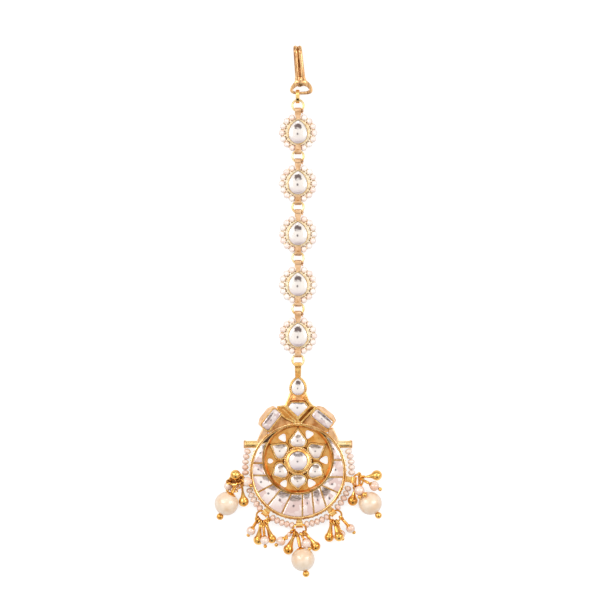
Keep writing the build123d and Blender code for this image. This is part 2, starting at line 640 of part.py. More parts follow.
def hook_route():
    """Corners of the doubled wire, once round from the middle of the eye's cross wire, and its bends."""
    bend_y = HOOK_TIP_Y - HOOK_BEND - HOOK_WIRE / 2
    low_z = HOOK_WIRE / 2 + 0.03
    high_z = low_z + 2 * HOOK_BEND
    lean = (HOOK_TOP_X - HOOK_NECK_X) / (bend_y - HOOK_NECK_Y)
    leg_x = HOOK_TOP_X - lean * (bend_y - HOOK_LEG_END_Y)
    sides = []
    for side in (-1, 1):
        apart = side * HOOK_WIRES_APART / 2
        sides.append([
            ((EYE_X + side * EYE_HALF, EYE_Y, HOOK_Z), 0.75),
            ((HOOK_NECK_X + 1.15 * apart, HOOK_NECK_Y, HOOK_Z + 0.35), 1.6),
            ((HOOK_TOP_X + apart, bend_y + HOOK_BEND, high_z), HOOK_BEND - 0.03),
            ((HOOK_TOP_X + apart, bend_y + HOOK_BEND, low_z), HOOK_BEND - 0.03),
            ((leg_x + apart, HOOK_LEG_END_Y, low_z), HOOK_WIRES_APART / 2 - 0.02),
        ])
    return sides[0] + sides[1][::-1]


def build_hook():
    corners = hook_route()
    start = (EYE_X, EYE_Y, HOOK_Z)
    end = (EYE_X + 0.001, EYE_Y, HOOK_Z)
    points = [point for point, _ in corners]
    bends = [bend for _, bend in corners]
    wire = FilletPolyline(start, *points, end, radius=bends)
    body = sweep(Plane(origin=wire @ 0, z_dir=wire % 0) * Circle(HOOK_WIRE / 2), path=wire)
    right = [(EYE_X + x, y) for x, y in HOOK_WEB]
    left = [(EYE_X - x, y) for x, y in reversed(HOOK_WEB)]
    top_y = HOOK_NECK_Y + 0.4
    web = make_face(Polyline((HOOK_NECK_X - WEB_TOP_HALF, top_y), (HOOK_NECK_X + WEB_TOP_HALF, top_y),
                             *right, *left, close=True))
    body += prism(web, HOOK_Z + WEB_Z[0], HOOK_Z + WEB_Z[1])
    save("hook", body)


def build_hook_link():
    outer = Ellipse(*LINK_OUTER)
    inner = Ellipse(LINK_OUTER[0] - LINK_WALL, LINK_OUTER[1] - LINK_WALL)
    link = extrude(Plane.YZ * (outer - inner), amount=LINK_WIDTH / 2, both=True)
    save("hook_link", Pos(LINK_X, LINK_Y, LINK_OUTER[1]) * link)


build_stations()
build_pendant()
build_clusters()
build_hook()
build_hook_link()
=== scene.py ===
# %% [markdown]
# # A maang tikka, laid on its back
#
# A maang tikka is worn on the parting of the hair: a hook holds one end, and a stone-set pendant hangs on
# the forehead. This one is kundan work: clear glass stones over foil, set in gold-plated metal, with
# strings of seed pearls and five clusters of drops. The script starts from the measured solids, keeps
# them as a frame, and makes every visible piece again at that place with its real finish.

# %% Load the measured solids
import math
from functools import partial

import bmesh
import bpy
from mathutils import Matrix, Vector, noise


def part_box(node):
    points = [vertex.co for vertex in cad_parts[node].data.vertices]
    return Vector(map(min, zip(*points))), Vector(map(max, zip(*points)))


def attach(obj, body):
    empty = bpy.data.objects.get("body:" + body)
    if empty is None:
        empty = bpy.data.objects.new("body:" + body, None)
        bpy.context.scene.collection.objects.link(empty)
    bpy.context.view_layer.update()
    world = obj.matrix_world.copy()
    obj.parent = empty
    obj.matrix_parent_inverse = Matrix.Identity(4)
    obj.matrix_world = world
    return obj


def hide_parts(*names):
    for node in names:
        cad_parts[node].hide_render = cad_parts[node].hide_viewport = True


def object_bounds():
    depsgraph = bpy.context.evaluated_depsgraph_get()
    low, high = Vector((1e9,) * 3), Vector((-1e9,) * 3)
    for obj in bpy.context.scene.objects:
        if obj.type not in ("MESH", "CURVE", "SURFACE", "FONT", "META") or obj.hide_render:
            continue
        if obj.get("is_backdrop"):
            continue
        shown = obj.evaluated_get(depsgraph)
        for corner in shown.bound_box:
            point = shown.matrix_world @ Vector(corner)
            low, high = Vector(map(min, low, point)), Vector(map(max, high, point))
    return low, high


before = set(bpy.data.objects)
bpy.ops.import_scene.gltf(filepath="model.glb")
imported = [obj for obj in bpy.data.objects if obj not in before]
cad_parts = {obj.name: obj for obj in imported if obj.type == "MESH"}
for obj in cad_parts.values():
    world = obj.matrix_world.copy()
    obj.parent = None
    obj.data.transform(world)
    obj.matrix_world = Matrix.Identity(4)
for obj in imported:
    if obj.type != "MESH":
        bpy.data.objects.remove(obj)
MM = 0.001
cad_low, cad_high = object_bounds()
print(f"{len(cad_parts)} solids, {(cad_high - cad_low)[1] / MM:.1f} mm long")


# %% [markdown]
# The jewel is seen from straight above, from far enough away that nearer parts look no larger. A long lens
# at 1.5 m gives a view 180 mm wide. Its middle lies between the pendant and the hook.

# %% Camera
VIEW_WIDTH = 180 * MM
CAMERA_HEIGHT = 1.5
SENSOR = 36

camera = bpy.data.objects.new("camera", bpy.data.cameras.new("camera"))
camera.data.sensor_width = SENSOR
camera.data.lens = SENSOR * CAMERA_HEIGHT / VIEW_WIDTH
camera.location = (0.6 * MM, 48.2 * MM, CAMERA_HEIGHT)
bpy.context.scene.collection.objects.link(camera)
bpy.context.scene.camera = camera
print(f"lens {camera.data.lens:.0f} mm")


# %% [markdown]
# Materials are built from nodes. One function turns the hex colour that a colour picker shows into the
# linear light that the shader works with, one feeds a node's inputs, and one adds a node of any kind.
#
# Two nodes come back in every material. A colour mix has its amount at socket 0 and its colours at 6 and 7.
# A Map Range set to Smoothstep turns a stretch of a value, from socket 1 to 2, into another, from 3 to 4.

# %% Node and colour helpers
USUAL = {"Mix": {"data_type": "RGBA"}, "MapRange": {"interpolation_type": "SMOOTHSTEP"}}


def hex_colour(text):
    """A colour picker's hex value as linear red, green, blue and alpha."""
    parts = [int(text[k:k + 2], 16) / 255 for k in (1, 3, 5)]
    return [part / 12.92 if part < 0.04045 else ((part + 0.055) / 1.055) ** 2.4 for part in parts] + [1]


def feed(node, feeds):
    """Feeds inputs, listed in order or by name or number: values, hex colours, outputs, or nodes' first outputs."""
    for name, value in feeds.items() if isinstance(feeds, dict) else enumerate(feeds):
        if isinstance(value, bpy.types.Node):
            value = next(output for output in value.outputs if output.enabled)
        if isinstance(value, bpy.types.NodeSocket):
            node.id_data.links.new(value, node.inputs[name])
        else:
            node.inputs[name].default_value = hex_colour(value) if isinstance(value, str) else value


def add_node(tree, kind, feeds=(), **settings):
    """Adds a node with its settings, the usual ones first, and what feeds it."""
    added = tree.nodes.new("ShaderNode" + kind)
    for name, value in {**USUAL.get(kind, {}), **settings}.items():
        setattr(added, name, value)
    feed(added, feeds)
    return added


print([round(part, 3) for part in hex_colour("#E9C27A")])


# %% New materials
def new_material(name, shader_values):
    """A material with one Principled shader. Returns it, a function that adds nodes to it, and the shader."""
    material = bpy.data.materials.new(name)
    material.use_nodes = True
    material.node_tree.nodes.clear()
    node = partial(add_node, material.node_tree)
    shader = node("BsdfPrincipled", shader_values)
    node("OutputMaterial", {"Surface": shader})
    return material, node, shader


bpy.context.scene.view_settings.view_transform = "Standard"
print(bpy.context.scene.view_settings.view_transform)


# %% [markdown]
# Polished metal shows whatever stands round it. Jewellery is shown in a light tent: white cloth all round,
# with a round hole above and a darker opening on one side. The world is such a tent. What the camera sees
# past the jewel is plain white.

# %% Light tent
GAP_DIRECTION = Vector((0.05, -0.72, 0.69)).normalized()
GAP_EDGE = (26, 15)
HOLE_EDGE = (4, 2.5)
TENT_LEVEL = 0.9

world = bpy.data.worlds.new("light_tent")
world.use_nodes = True
bpy.context.scene.world = world
world.node_tree.nodes.clear()
node = partial(add_node, world.node_tree)
direction = node("TexCoord").outputs["Generated"]
height = node("SeparateXYZ", [direction]).outputs[2]
cloth = node("MapRange", [height, -0.05, 0.75, 0.62, 1.0])
tent = node("CombineColor", [cloth, cloth, cloth])
toward_gap = node("VectorMath", [direction, GAP_DIRECTION], operation="DOT_PRODUCT")
for nearness, edge, dark in ((toward_gap, GAP_EDGE, "#3A1E0E"), (height, HOLE_EDGE, "#2A2428")):
    outer, inner = (math.cos(math.radians(degrees)) for degrees in edge)
    opening = node("MapRange", [nearness, outer, inner])
    tent = node("Mix", {0: opening, 6: tent, 7: dark})
around = node("Background", [tent, TENT_LEVEL])
behind = node("Background", [(1, 1, 1, 1), 1.0])
seen = node("LightPath").outputs["Is Camera Ray"]
node("OutputWorld", [node("MixShader", [seen, around, behind])])
print(f"{len(world.node_tree.nodes)} nodes in the tent")


# %% Floor
FLOOR_HALF = 1.5
FLOOR_GAP = 0.02
FLOOR_GLOW = 0.74

# matt white paper, swept up behind. It glows a little wherever it is seen, so that it reads as plain white
# and keeps the jewel's soft shadow.
paper, node, shader = new_material("white_paper", {"Base Color": "#A6A6A6", "Roughness": 0.9})
paths = node("LightPath").outputs
shown = node("Math", [paths["Is Camera Ray"], paths["Is Glossy Ray"]], operation="MAXIMUM")
shown = node("Math", [shown, paths["Is Transmission Ray"]], operation="MAXIMUM")
glow = node("Math", [shown, FLOOR_GLOW], operation="MULTIPLY")
feed(shader, {"Emission Color": "#FFFFFF", "Emission Strength": glow})

shape = bmesh.new()
bmesh.ops.create_grid(shape, x_segments=1, y_segments=1, size=FLOOR_HALF)
bmesh.ops.translate(shape, verts=shape.verts, vec=(0, 0.05, cad_low[2] - FLOOR_GAP * MM))
sheet = bpy.data.meshes.new("paper_sweep")
shape.to_mesh(sheet)
shape.free()
sheet.materials.append(paper)
floor = bpy.data.objects.new("paper_sweep", sheet)
bpy.context.scene.collection.objects.link(floor)
floor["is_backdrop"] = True
print(f"floor at {sheet.vertices[0].co.z / MM:.2f} mm")


# %% [markdown]
# Three softboxes add the soft bright streaks that cloth alone can't: one each side, and one beyond the
# hook. They stay weak, so that colours keep the level at which they were written.

# %% Lamps
LAMPS = [
    # (x, y, z, width, length, watts)
    (-0.34, 0.16, 0.40, 0.14, 0.36, 0.80),
    (0.36, 0.12, 0.38, 0.12, 0.34, 0.70),
    (-0.05, 0.50, 0.55, 0.30, 0.06, 0.25),
]
for k, (x, y, z, width, length, watts) in enumerate(LAMPS):
    lamp = bpy.data.lights.new(f"softbox_{k + 1}", "AREA")
    lamp.shape = "RECTANGLE"
    lamp.size, lamp.size_y, lamp.energy = width, length, watts
    placed = bpy.data.objects.new(lamp.name, lamp)
    placed.location = (x, y, z)
    aim = Vector((0, 0.02, 0)) - placed.location
    placed.rotation_euler = aim.to_track_quat("-Z", "Y").to_euler()
    bpy.context.scene.collection.objects.link(placed)
print(f"{len(LAMPS)} softboxes")


# %% [markdown]
# The metal is brass under a thin gold plate, polished on the raised edges. Low down in the hollows its colour is a
# painted shade, deeper and more orange, where the real metal would reflect itself. Noise a few tenths of a millimetre
# across breaks up the polish as hand work does.

# %% Metals
def plated_metal(name, light, deep, roughness, grain_mm, bump_mm, hollow=None, drawn=1.0, metallic=1.0,
                 broad_mm=2.2, stained=None):
    """Gold plate whose colour and polish wander a little. The hollow colour is a painted shade at the foot of the
    walls, and a second colour paints shade on the lower left side.
    """
    material, node, shader = new_material(name, {"Metallic": metallic})
    place = node("TexCoord").outputs["Object"]
    # drawn wire has its grain pulled out lengthwise, along Y
    along = node("Mapping", {"Vector": place, "Scale": (1, 1 / drawn, 1)})
    broad = node("TexNoise", {"Vector": along, "Scale": 1 / (broad_mm * MM), "Detail": 2.0})
    fine = node("TexNoise", {"Vector": along, "Scale": 1 / (grain_mm * MM), "Detail": 3.0})
    tone = node("MapRange", [broad, 0.35, 0.7])
    colour = node("Mix", {0: tone, 6: light, 7: deep})
    if stained:
        # painted shade: the lower left side of the well is browner and darker than the rest
        spots = node("VectorMath", [place, (-0.8 / MM, -0.6 / MM, 0)], operation="DOT_PRODUCT")
        spots = node("Math", [broad, 8.0, spots], operation="MULTIPLY_ADD")
        spots = node("MapRange", [spots, 7.5, 14.0, 0.0, 0.85])
        colour = node("Mix", {0: spots, 6: colour, 7: stained})
    if hollow:
        # painted shade: low surfaces take the hollow colour, high ones keep their own
        rise = node("SeparateXYZ", [place]).outputs[2]
        rise = node("MapRange", [rise, 0.9 * MM, 2.8 * MM])
        colour = node("Mix", {0: rise, 6: hollow, 7: colour})
        patchy = node("Mix", {0: tone, 6: light, 7: hollow})
        colour = node("Mix", {0: 0.45, 6: colour, 7: patchy})
    polish = node("MapRange", [fine, 0.3, 0.7, roughness * 0.7, roughness * 1.3])
    surface = node("Bump", {"Strength": 1.0, "Distance": bump_mm * MM, "Height": fine})
    feed(shader, {"Base Color": colour, "Roughness": polish, "Normal": surface})
    return material


# polished gold plate: warm yellow, with sharp streaks of the tent
gold_plate = plated_metal("polished_gold_plate", "#FFD68A", "#F1AE5C", 0.26, 0.6, 0.003)
print(gold_plate.name, "takes", len(gold_plate.node_tree.nodes), "nodes")


# %% The other golds
# the same plate on hollow drops and fine wire, buffed brighter and a little redder
bright_gold = plated_metal("buffed_gold_plate", "#F6C470", "#DB9742", 0.16, 0.6, 0.004)
# gold plate left as cast: a golden orange glow with no sharp reflections, with a browner painted shade at the foot of
# the walls
deep_gold = plated_metal("cast_gold_plate", "#FDD088", "#F2B25C", 0.36, 0.6, 0.012, hollow="#DF9C4A")
# the well and its floor have the same plate, with a brown painted shade on one side and at the foot of the walls
well_gold = plated_metal("side_shaded_cast_plate", "#FFD890", "#F2B25C", 0.36, 0.6, 0.012, "#D9923E", stained="#9A5A24")
# bare pickled brass under thin plate: a dull pinkish brown
brown_gold = plated_metal("pickled_brass_floor", "#E7B680", "#BC7E48", 0.45, 0.5, 0.03)
# flash plate on thin sheet: pale yellow where it faces up
pale_gold = plated_metal("flash_plated_sheet", "#FBE3AE", "#F0C880", 0.3, 0.6, 0.003)
# flash plate over a white pickled sheet: matt, and almost cream
cream_gold = plated_metal("pickled_cream_plate", "#FFFAEC", "#FFF0D0", 0.5, 0.6, 0.004, metallic=0.35)
# copper-rich plate: pinkish, with soft reflections
copper_gold = plated_metal("rosy_gold_plate", "#F0C9A0", "#D8A878", 0.42, 0.5, 0.002)
# drawn wire under rosy plate: fine yellow and brown streaks along its length
drawn_gold = plated_metal("drawn_rosy_gold_wire", "#F0C48C", "#B0764A", 0.32, 0.3, 0.004, drawn=16.0, broad_mm=0.7)
# painted shade: a matt dark brown laid in corners, gaps and slots where shade falls
seam_gold = plated_metal("painted_shade_brown", "#A86C30", "#744218", 0.5, 0.3, 0.02)
print("golds:", [material.name for material in bpy.data.materials if material.name.split("_")[-1] != "paper"])


# %% [markdown]
# Each stone is clear glass over silver foil, closed from behind. The foil is creased, and a painted dark reflection
# lies on it, mostly towards the top of each cell; the cutter's culet shows as a small painted dark point.
# The glass on top is smooth and hard: that is the coat.

# %% Painted reflection on the foil
def tarnished_arch(node, place, face, creases, high, size, strength, arch, stray, streaky):
    """How much painted dark reflection the foil takes: an arch near the top of each stone, with a crumpled edge."""
    centred = node("VectorMath", [creases, (0.4, 0.34, 0), face], operation="MULTIPLY_ADD")
    # the noise wanders about a half, so the patch is centred half a wander further on
    centred = node("VectorMath", [centred, (0.2, high + 0.17, 0)], operation="SUBTRACT")
    # a slow noise moves each stone's patch its own way and makes some of them faint
    wander = node("TexNoise", {"Vector": place, "Scale": 1 / (6.0 * MM), "Detail": 0.0}).outputs[1]
    centred = node("VectorMath", [wander, (stray, stray * 0.6, 0), centred], operation="MULTIPLY_ADD")
    centred = node("VectorMath", [centred, (stray * 0.5, stray * 0.3, 0)], operation="SUBTRACT")
    squeezed = node("VectorMath", [centred, (*size, 1)], operation="DIVIDE")
    reach = node("VectorMath", [squeezed], operation="LENGTH")
    patch = node("MapRange", [reach, 0.7, 1.15, strength, 0.0])
    # the patch fades again round a point at its lower edge, and streaks cross it
    notch = node("VectorMath", [squeezed, (0, 0.9, 0)], operation="ADD")
    notch = node("VectorMath", [notch], operation="LENGTH")
    notch = node("MapRange", [notch, 0.3, 0.9, 1 - arch, 1.0])
    streaks = node("Mapping", {"Vector": place, "Scale": (1, 4, 1)})
    streaks = node("TexNoise", {"Vector": streaks, "Scale": 1 / (1.1 * MM)})
    streaks = node("MapRange", [streaks, 0.38, 0.6, 1 - streaky, 1.0])
    patch = node("Math", [patch, notch], operation="MULTIPLY")
    return node("Math", [patch, streaks], operation="MULTIPLY")


# painted shade: the culet drawn as a small dark point in the middle of each stone
CULET_COLOUR = "#5A4C50"
print("the culet shows as", [round(value, 2) for value in hex_colour(CULET_COLOUR)[:3]])


# %% Tint of the foil
FACET_MM = 1.7


def tinted_foil(node, place, face, clear, shade, facets):
    """Silver foil with painted shade towards the stone's edge and foot, and painted reflections of crumpled facets if
    there are any.
    """
    edge = node("VectorMath", [face], operation="LENGTH")
    edge = node("MapRange", [edge, 0.7, 1.1, 0.0, 0.5])
    low = node("SeparateXYZ", [face]).outputs[1]
    low = node("MapRange", [low, -0.9, -0.1, 0.75, 0.0])
    edge = node("Math", [edge, low], operation="MAXIMUM")
    colour = node("Mix", {0: edge, 6: clear, 7: shade})
    if not facets:
        return colour
    # painted reflections: facets of the crumpled foil, each taking its own share of the shade colour
    flat = node("TexVoronoi", {"Vector": place, "Scale": 1 / (FACET_MM * MM)}).outputs["Color"]
    flat = node("SeparateColor", [flat])
    flat = node("MapRange", [flat, 0.3, 0.7, 0.0, facets])
    return node("Mix", {0: flat, 6: colour, 7: shade})


print("facets of the foil: about", FACET_MM, "mm across")


# %% Foiled glass
def foiled_glass(name, clear, shade, tarnish, patch_high, patch_size, strength, arch, facets=0.0, stray=0.0,
                 streaky=0.0):
    """Glass over foil. The foil's pattern follows the stone's own map, from -1 to 1 across each stone."""
    material, node, shader = new_material(name, {
        "Metallic": 0.3, "Roughness": 0.22, "Coat Weight": 1.0, "Coat Roughness": 0.03, "Coat IOR": 1.52})
    face = node("UVMap", uv_map="stone_face")
    place = node("TexCoord").outputs["Object"]
    creases = node("TexNoise", {"Vector": place, "Scale": 1 / (0.55 * MM), "Detail": 3.0}).outputs[1]
    patch = tarnished_arch(node, place, face, creases, patch_high, patch_size, strength, arch, stray, streaky)
    # painted shade at the culet: a small dark point in the middle
    culet = node("VectorMath", [creases, (0.12, 0.12, 0), face], operation="MULTIPLY_ADD")
    culet = node("VectorMath", [culet], operation="LENGTH")
    culet = node("MapRange", [culet, 0.05, 0.14, 0.85, 0.0])
    colour = tinted_foil(node, place, face, clear, shade, facets)
    # painted reflection: the dark arch laid over the foil's colour
    colour = node("Mix", {0: patch, 6: colour, 7: tarnish})
    colour = node("Mix", {0: culet, 6: colour, 7: CULET_COLOUR})
    surface = node("Bump", {"Strength": 0.5, "Distance": 0.06 * MM, "Height": creases})
    feed(shader, {"Base Color": colour, "Normal": surface})
    return material


# a dome over smooth foil: white, with one painted dark reflection in an arch, and a lavender foot
pear_glass = foiled_glass("domed_glass_over_foil", "#F5ECE4", "#D3BDC2", "#5C4540", 0.5, (0.4, 0.27), 0.97, 0.75)
print(pear_glass.name, "takes", len(pear_glass.node_tree.nodes), "nodes")


# %% The other stones' glass
# a low round dome: white above a lavender lower edge
round_glass = foiled_glass(
    "round_glass_over_foil", "#F2E6E2", "#DAC8CC", "#62504C", 0.7, (0.58, 0.26), 1.0, 0.3, streaky=0.25)
# small domes over crumpled foil: warm white, with a faint painted brown reflection crossed by streaks
petal_glass = foiled_glass(
    "petal_glass_over_foil", "#F8EDE4", "#D9C2B8", "#705640", 0.5, (0.72, 0.24), 0.95, 0.15, 0.45, 0.8, 0.45)
# long flat baguettes: the dark reflection of the far edge runs along them
baguette_glass = foiled_glass(
    "baguette_glass_over_foil", "#F9EEE8", "#CBAEAA", "#5A4644", 0.6, (0.85, 0.28), 1.0, 0.1, 0.75, 0.5, 0.3)
# flat table-cut glass over crumpled foil: patches of white and pink painted as reflections of its facets, and a painted
# dark reflection
crescent_glass = foiled_glass(
    "flat_glass_over_foil", "#FCF0EA", "#DFBEB6", "#66503F", 0.5, (0.62, 0.32), 1.0, 0.3, 0.85, 0.7, 0.4)
# the kite: the same foil as the drop's, with its painted dark reflection wide along the flat top edge
kite_glass = foiled_glass("kite_glass_over_foil", "#F4ECE8", "#D3C0CC", "#665458", 0.46, (0.66, 0.17), 0.97, 0.45)
print("glass:", [material.name for material in bpy.data.materials if "glass" in material.name])


# %% [markdown]
# The pearls are glass beads dipped in pearl lacquer: a soft body colour under a clear satin skin. The big ones are
# cream, the seeds are pinkish white. Layer Weight paints a warmer, darker shade on the rim, where each pearl turns
# away.

# %% Pearl lacquer
def pearl_lacquer(name, body, rim, blush, roughness, lustre=1.7, softness=0.17):
    """Lacquer that clouds slowly from body to blush, and takes a painted edge shade where it turns away."""
    material, node, shader = new_material(name, {
        "Roughness": roughness, "IOR": 1.5, "Coat Weight": 1.0, "Coat Roughness": softness, "Coat IOR": lustre})
    place = node("TexCoord").outputs["Object"]
    cloud = node("TexNoise", {"Vector": place, "Scale": 1 / (3.0 * MM), "Detail": 2.0})
    cloud = node("MapRange", [cloud, 0.35, 0.65])
    skin = node("TexNoise", {"Vector": place, "Scale": 1 / (0.25 * MM), "Detail": 2.0})
    # painted shade: the rim colour where the surface turns away from view
    turned_away = node("LayerWeight", {"Blend": 0.35}).outputs["Facing"]
    turned_away = node("MapRange", [turned_away, 0.25, 1.0])
    colour = node("Mix", {0: cloud, 6: body, 7: blush})
    colour = node("Mix", {0: turned_away, 6: colour, 7: rim})
    surface = node("Bump", {"Strength": 0.4, "Distance": 0.004 * MM, "Height": skin})
    feed(shader, {"Base Color": colour, "Normal": surface})
    return material


# thick cream lacquer with mica in it, which raises its lustre: peach and cream with broad soft glows
cream_pearl = pearl_lacquer("cream_pearl_lacquer", "#F8E2C8", "#D2A47A", "#F3CEA8", 0.3, 2.0, 0.3)
print(cream_pearl.name, "takes", len(cream_pearl.node_tree.nodes), "nodes")


# %% The thinner lacquers
# a thinner pinkish coat, with a brownish painted shade where it turns away
small_pearl = pearl_lacquer("pinkish_pearl_lacquer", "#F9E2D4", "#C98C62", "#F1C6AC", 0.26, 1.9)
# the rim's seeds: blush, with a darker painted edge shade that parts one from the next
rim_pearl = pearl_lacquer("blush_seed_lacquer", "#F9E4D7", "#C8906C", "#F0CAB5", 0.28)
# the stations' seeds: nearly white with a little pink
seed_pearl = pearl_lacquer("seed_pearl_lacquer", "#FFF6F0", "#E8C8B6", "#FBE2D6", 0.34)
print("lacquers:", [material.name for material in bpy.data.materials if "lacquer" in material.name])


# %% [markdown]
# Shapes are drawn in millimetres and scaled once, when a piece is finished. A part is a small mesh that can
# be put down many times; a piece is a finished object. Flat outlines are lists of corners, and the
# operators do the rest: lift, inset, spin and bevel.

# %% Workshop helpers
def polar(radius, degrees, middle=(0, 0)):
    turn = math.radians(degrees)
    return Vector((middle[0] + radius * math.cos(turn), middle[1] + radius * math.sin(turn)))


def at(x=0, y=0, z=0, turn=0):
    """A place in the frame, turned about Z."""
    return Matrix.Translation((x, y, z)) @ Matrix.Rotation(math.radians(turn), 4, "Z")


def facing(spot, way):
    """A place whose Z axis points this way."""
    return Matrix.Translation(spot) @ Vector(way).to_track_quat("Z", "Y").to_matrix().to_4x4()


print("a quarter turn gives", [round(value, 3) for value in polar(1, 90)])


# %% Parts and pieces
def as_part(shape):
    """Merges, turns faces outwards, and keeps the shape as a mesh."""
    bmesh.ops.remove_doubles(shape, verts=shape.verts, dist=0.002)
    bmesh.ops.recalc_face_normals(shape, faces=shape.faces)
    part = bpy.data.meshes.new("part")
    shape.to_mesh(part)
    shape.free()
    return part


def put(shape, part, *places):
    """Adds copies of a part to a shape, at places or in the middle of the frame."""
    for place in places or [at()]:
        start = len(shape.verts)
        shape.from_mesh(part)
        shape.verts.ensure_lookup_table()
        bmesh.ops.transform(shape, matrix=place, verts=shape.verts[start:])


def shape_of(part, *places):
    """A new shape made of one part."""
    shape = bmesh.new()
    put(shape, part, *places)
    return shape


print("pieces go to", bpy.context.scene.collection.name)


# %% Finished pieces
CREASE = 35


def finish_piece(name, shape, material, node="pendant_frame", soft_edge=0.0, sharp=CREASE):
    """Scales a shape to metres and makes it an object that rides on the jewel in place of a solid."""
    bmesh.ops.scale(shape, verts=shape.verts, vec=(MM, MM, MM))
    mesh = bpy.data.meshes.new(name)
    shape.to_mesh(mesh)
    shape.free()
    mesh.materials.append(material)
    mesh.shade_smooth()
    mesh.set_sharp_from_angle(angle=math.radians(sharp))
    piece = bpy.data.objects.new(name, mesh)
    bpy.context.scene.collection.objects.link(piece)
    if soft_edge:
        rounding = piece.modifiers.new("rubbed_edges", "BEVEL")
        rounding.width = soft_edge * MM
        rounding.segments = 2
        rounding.limit_method = "ANGLE"
        rounding.angle_limit = math.radians(CREASE)
        rounding.harden_normals = True
    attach(piece, "root")
    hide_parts(node)
    print(f"{name}: {len(mesh.polygons)} faces")
    return piece


print("edges sharper than", CREASE, "degrees stay crisp")


# %% Faces and blocks
def raise_up(shape, grown, rise):
    """Moves newly extruded corners up, and returns them."""
    points = [item for item in grown if isinstance(item, bmesh.types.BMVert)]
    bmesh.ops.translate(shape, verts=points, vec=(0, 0, rise))
    return points


def lift(shape, face, rise, about=(0, 0), scale=1.0):
    """Pulls a face up and draws it in towards a point, and returns it."""
    grown = bmesh.ops.extrude_face_region(shape, geom=[face])["geom"]
    points = raise_up(shape, grown, rise)
    bmesh.ops.scale(shape, verts=points, vec=(scale, scale, 1), space=Matrix.Translation((-about[0], -about[1], 0)))
    shape.normal_update()
    return next(item for item in grown if isinstance(item, bmesh.types.BMFace))


def flat_face(shape, outline, z):
    """A flat face. Its normal is worked out at once, because insets need it."""
    face = shape.faces.new([shape.verts.new((point[0], point[1], z)) for point in outline])
    face.normal_update()
    return face


def block(outline, low, high):
    """A plate or bar of even thickness."""
    shape = bmesh.new()
    lift(shape, flat_face(shape, outline, low), high - low)
    return as_part(shape)


print("a block has", len(block([(0, 0), (1, 0), (0, 1)], 0, 1).polygons), "faces")


# %% Bezels and strips
def bezel(outline, wall, low, high):
    """A strip bent round an outline: the outline is its outside."""
    shape = bmesh.new()
    face = flat_face(shape, outline, low)
    ring = bmesh.ops.inset_region(
        shape, faces=[face], thickness=wall, use_boundary=True, use_even_offset=True)["faces"]
    bmesh.ops.delete(shape, geom=[face], context="FACES_ONLY")
    raise_up(shape, bmesh.ops.extrude_face_region(shape, geom=ring)["geom"], high - low)
    return as_part(shape)


def strip(path, wall, low, high):
    """An upright strip of metal that follows a path."""
    shape = bmesh.new()
    points = [shape.verts.new((point[0], point[1], low)) for point in path]
    edges = [shape.edges.new(pair) for pair in zip(points, points[1:])]
    raise_up(shape, bmesh.ops.extrude_edge_only(shape, edges=edges)["geom"], high - low)
    bmesh.ops.recalc_face_normals(shape, faces=shape.faces)
    bmesh.ops.solidify(shape, geom=shape.faces[:], thickness=wall)
    return as_part(shape)


print("a bezel has", len(bezel([(0, 0), (1, 0), (0, 1)], 0.1, 0, 1).polygons), "faces")


# %% Lathe work
def turned(profile, steps=32, closed=False):
    """An outline of (radius, height) turned on a lathe round Z."""
    shape = bmesh.new()
    points = [shape.verts.new((radius, 0, height)) for radius, height in profile]
    edges = [shape.edges.new(pair) for pair in zip(points, points[1:])]
    if closed:
        edges.append(shape.edges.new((points[-1], points[0])))
    bmesh.ops.spin(shape, geom=points + edges, cent=(0, 0, 0), axis=(0, 0, 1), angle=math.tau,
                   steps=steps, use_merge=True)
    return as_part(shape)


def arc(middle, radius, first, last, steps):
    """Points of an arc, for a profile or an outline."""
    return [tuple(polar(radius, first + (last - first) * k / steps, middle)) for k in range(steps + 1)]


def wire_ring(radius, wire, steps=28, across=8):
    """A ring of round wire about Z."""
    return turned(arc((radius, 0), wire / 2, 0, 360 - 360 / across, across - 1), steps, closed=True)


def ball(size, steps=16):
    shape = bmesh.new()
    bmesh.ops.create_uvsphere(shape, u_segments=steps, v_segments=steps // 2 + 2, radius=size / 2)
    return as_part(shape)


print("a small ball has", len(ball(1).polygons), "faces")


# %% Rounded corners
def rounded(corners, radius, steps=4):
    """An outline with its corners rounded off."""
    shape = bmesh.new()
    flat_face(shape, corners, 0)
    bmesh.ops.bevel(shape, geom=shape.verts[:], offset=radius, offset_type="OFFSET", affect="VERTICES",
                    segments=steps, profile=0.5, material=-1)
    largest = max(shape.faces, key=lambda face: face.calc_area())
    outline = [tuple(point.co.to_2d()) for point in largest.verts]
    shape.free()
    return outline


print("a rounded square has", len(rounded([(0, 0), (1, 0), (1, 1), (0, 1)], 0.2)), "corners")


# %% [markdown]
# A stone is cut from its outline: straight up to the girdle, then drawn in step by step to a low dome. Its map runs
# from -1 to 1 across the stone, so that the foil's painted dark reflection sits in the same corner of each.

# %% Middle and map of a stone
DOME = [(0.965, 0.22), (0.92, 0.2), (0.86, 0.16), (0.78, 0.12), (0.66, 0.08), (0.45, 0.04)]


def middle_of_outline(outline):
    return sum((Vector(point) for point in outline), Vector((0, 0))) / len(outline)


def map_stone(shape, outline, middle, along):
    """Turns faces outwards and gives them a map from -1 to 1 across the stone."""
    bmesh.ops.recalc_face_normals(shape, faces=shape.faces)
    across = Vector((along.y, -along.x))
    offsets = [Vector(point) - middle for point in outline]
    half_along = max(abs(offset.dot(along)) for offset in offsets)
    half_across = max(abs(offset.dot(across)) for offset in offsets)
    layer = shape.loops.layers.uv.new("stone_face")
    for face in shape.faces:
        for loop in face.loops:
            offset = loop.vert.co.to_2d() - middle
            loop[layer].uv = (offset.dot(across) / half_across, offset.dot(along) / half_along)


print("a dome is drawn in", len(DOME), "times")


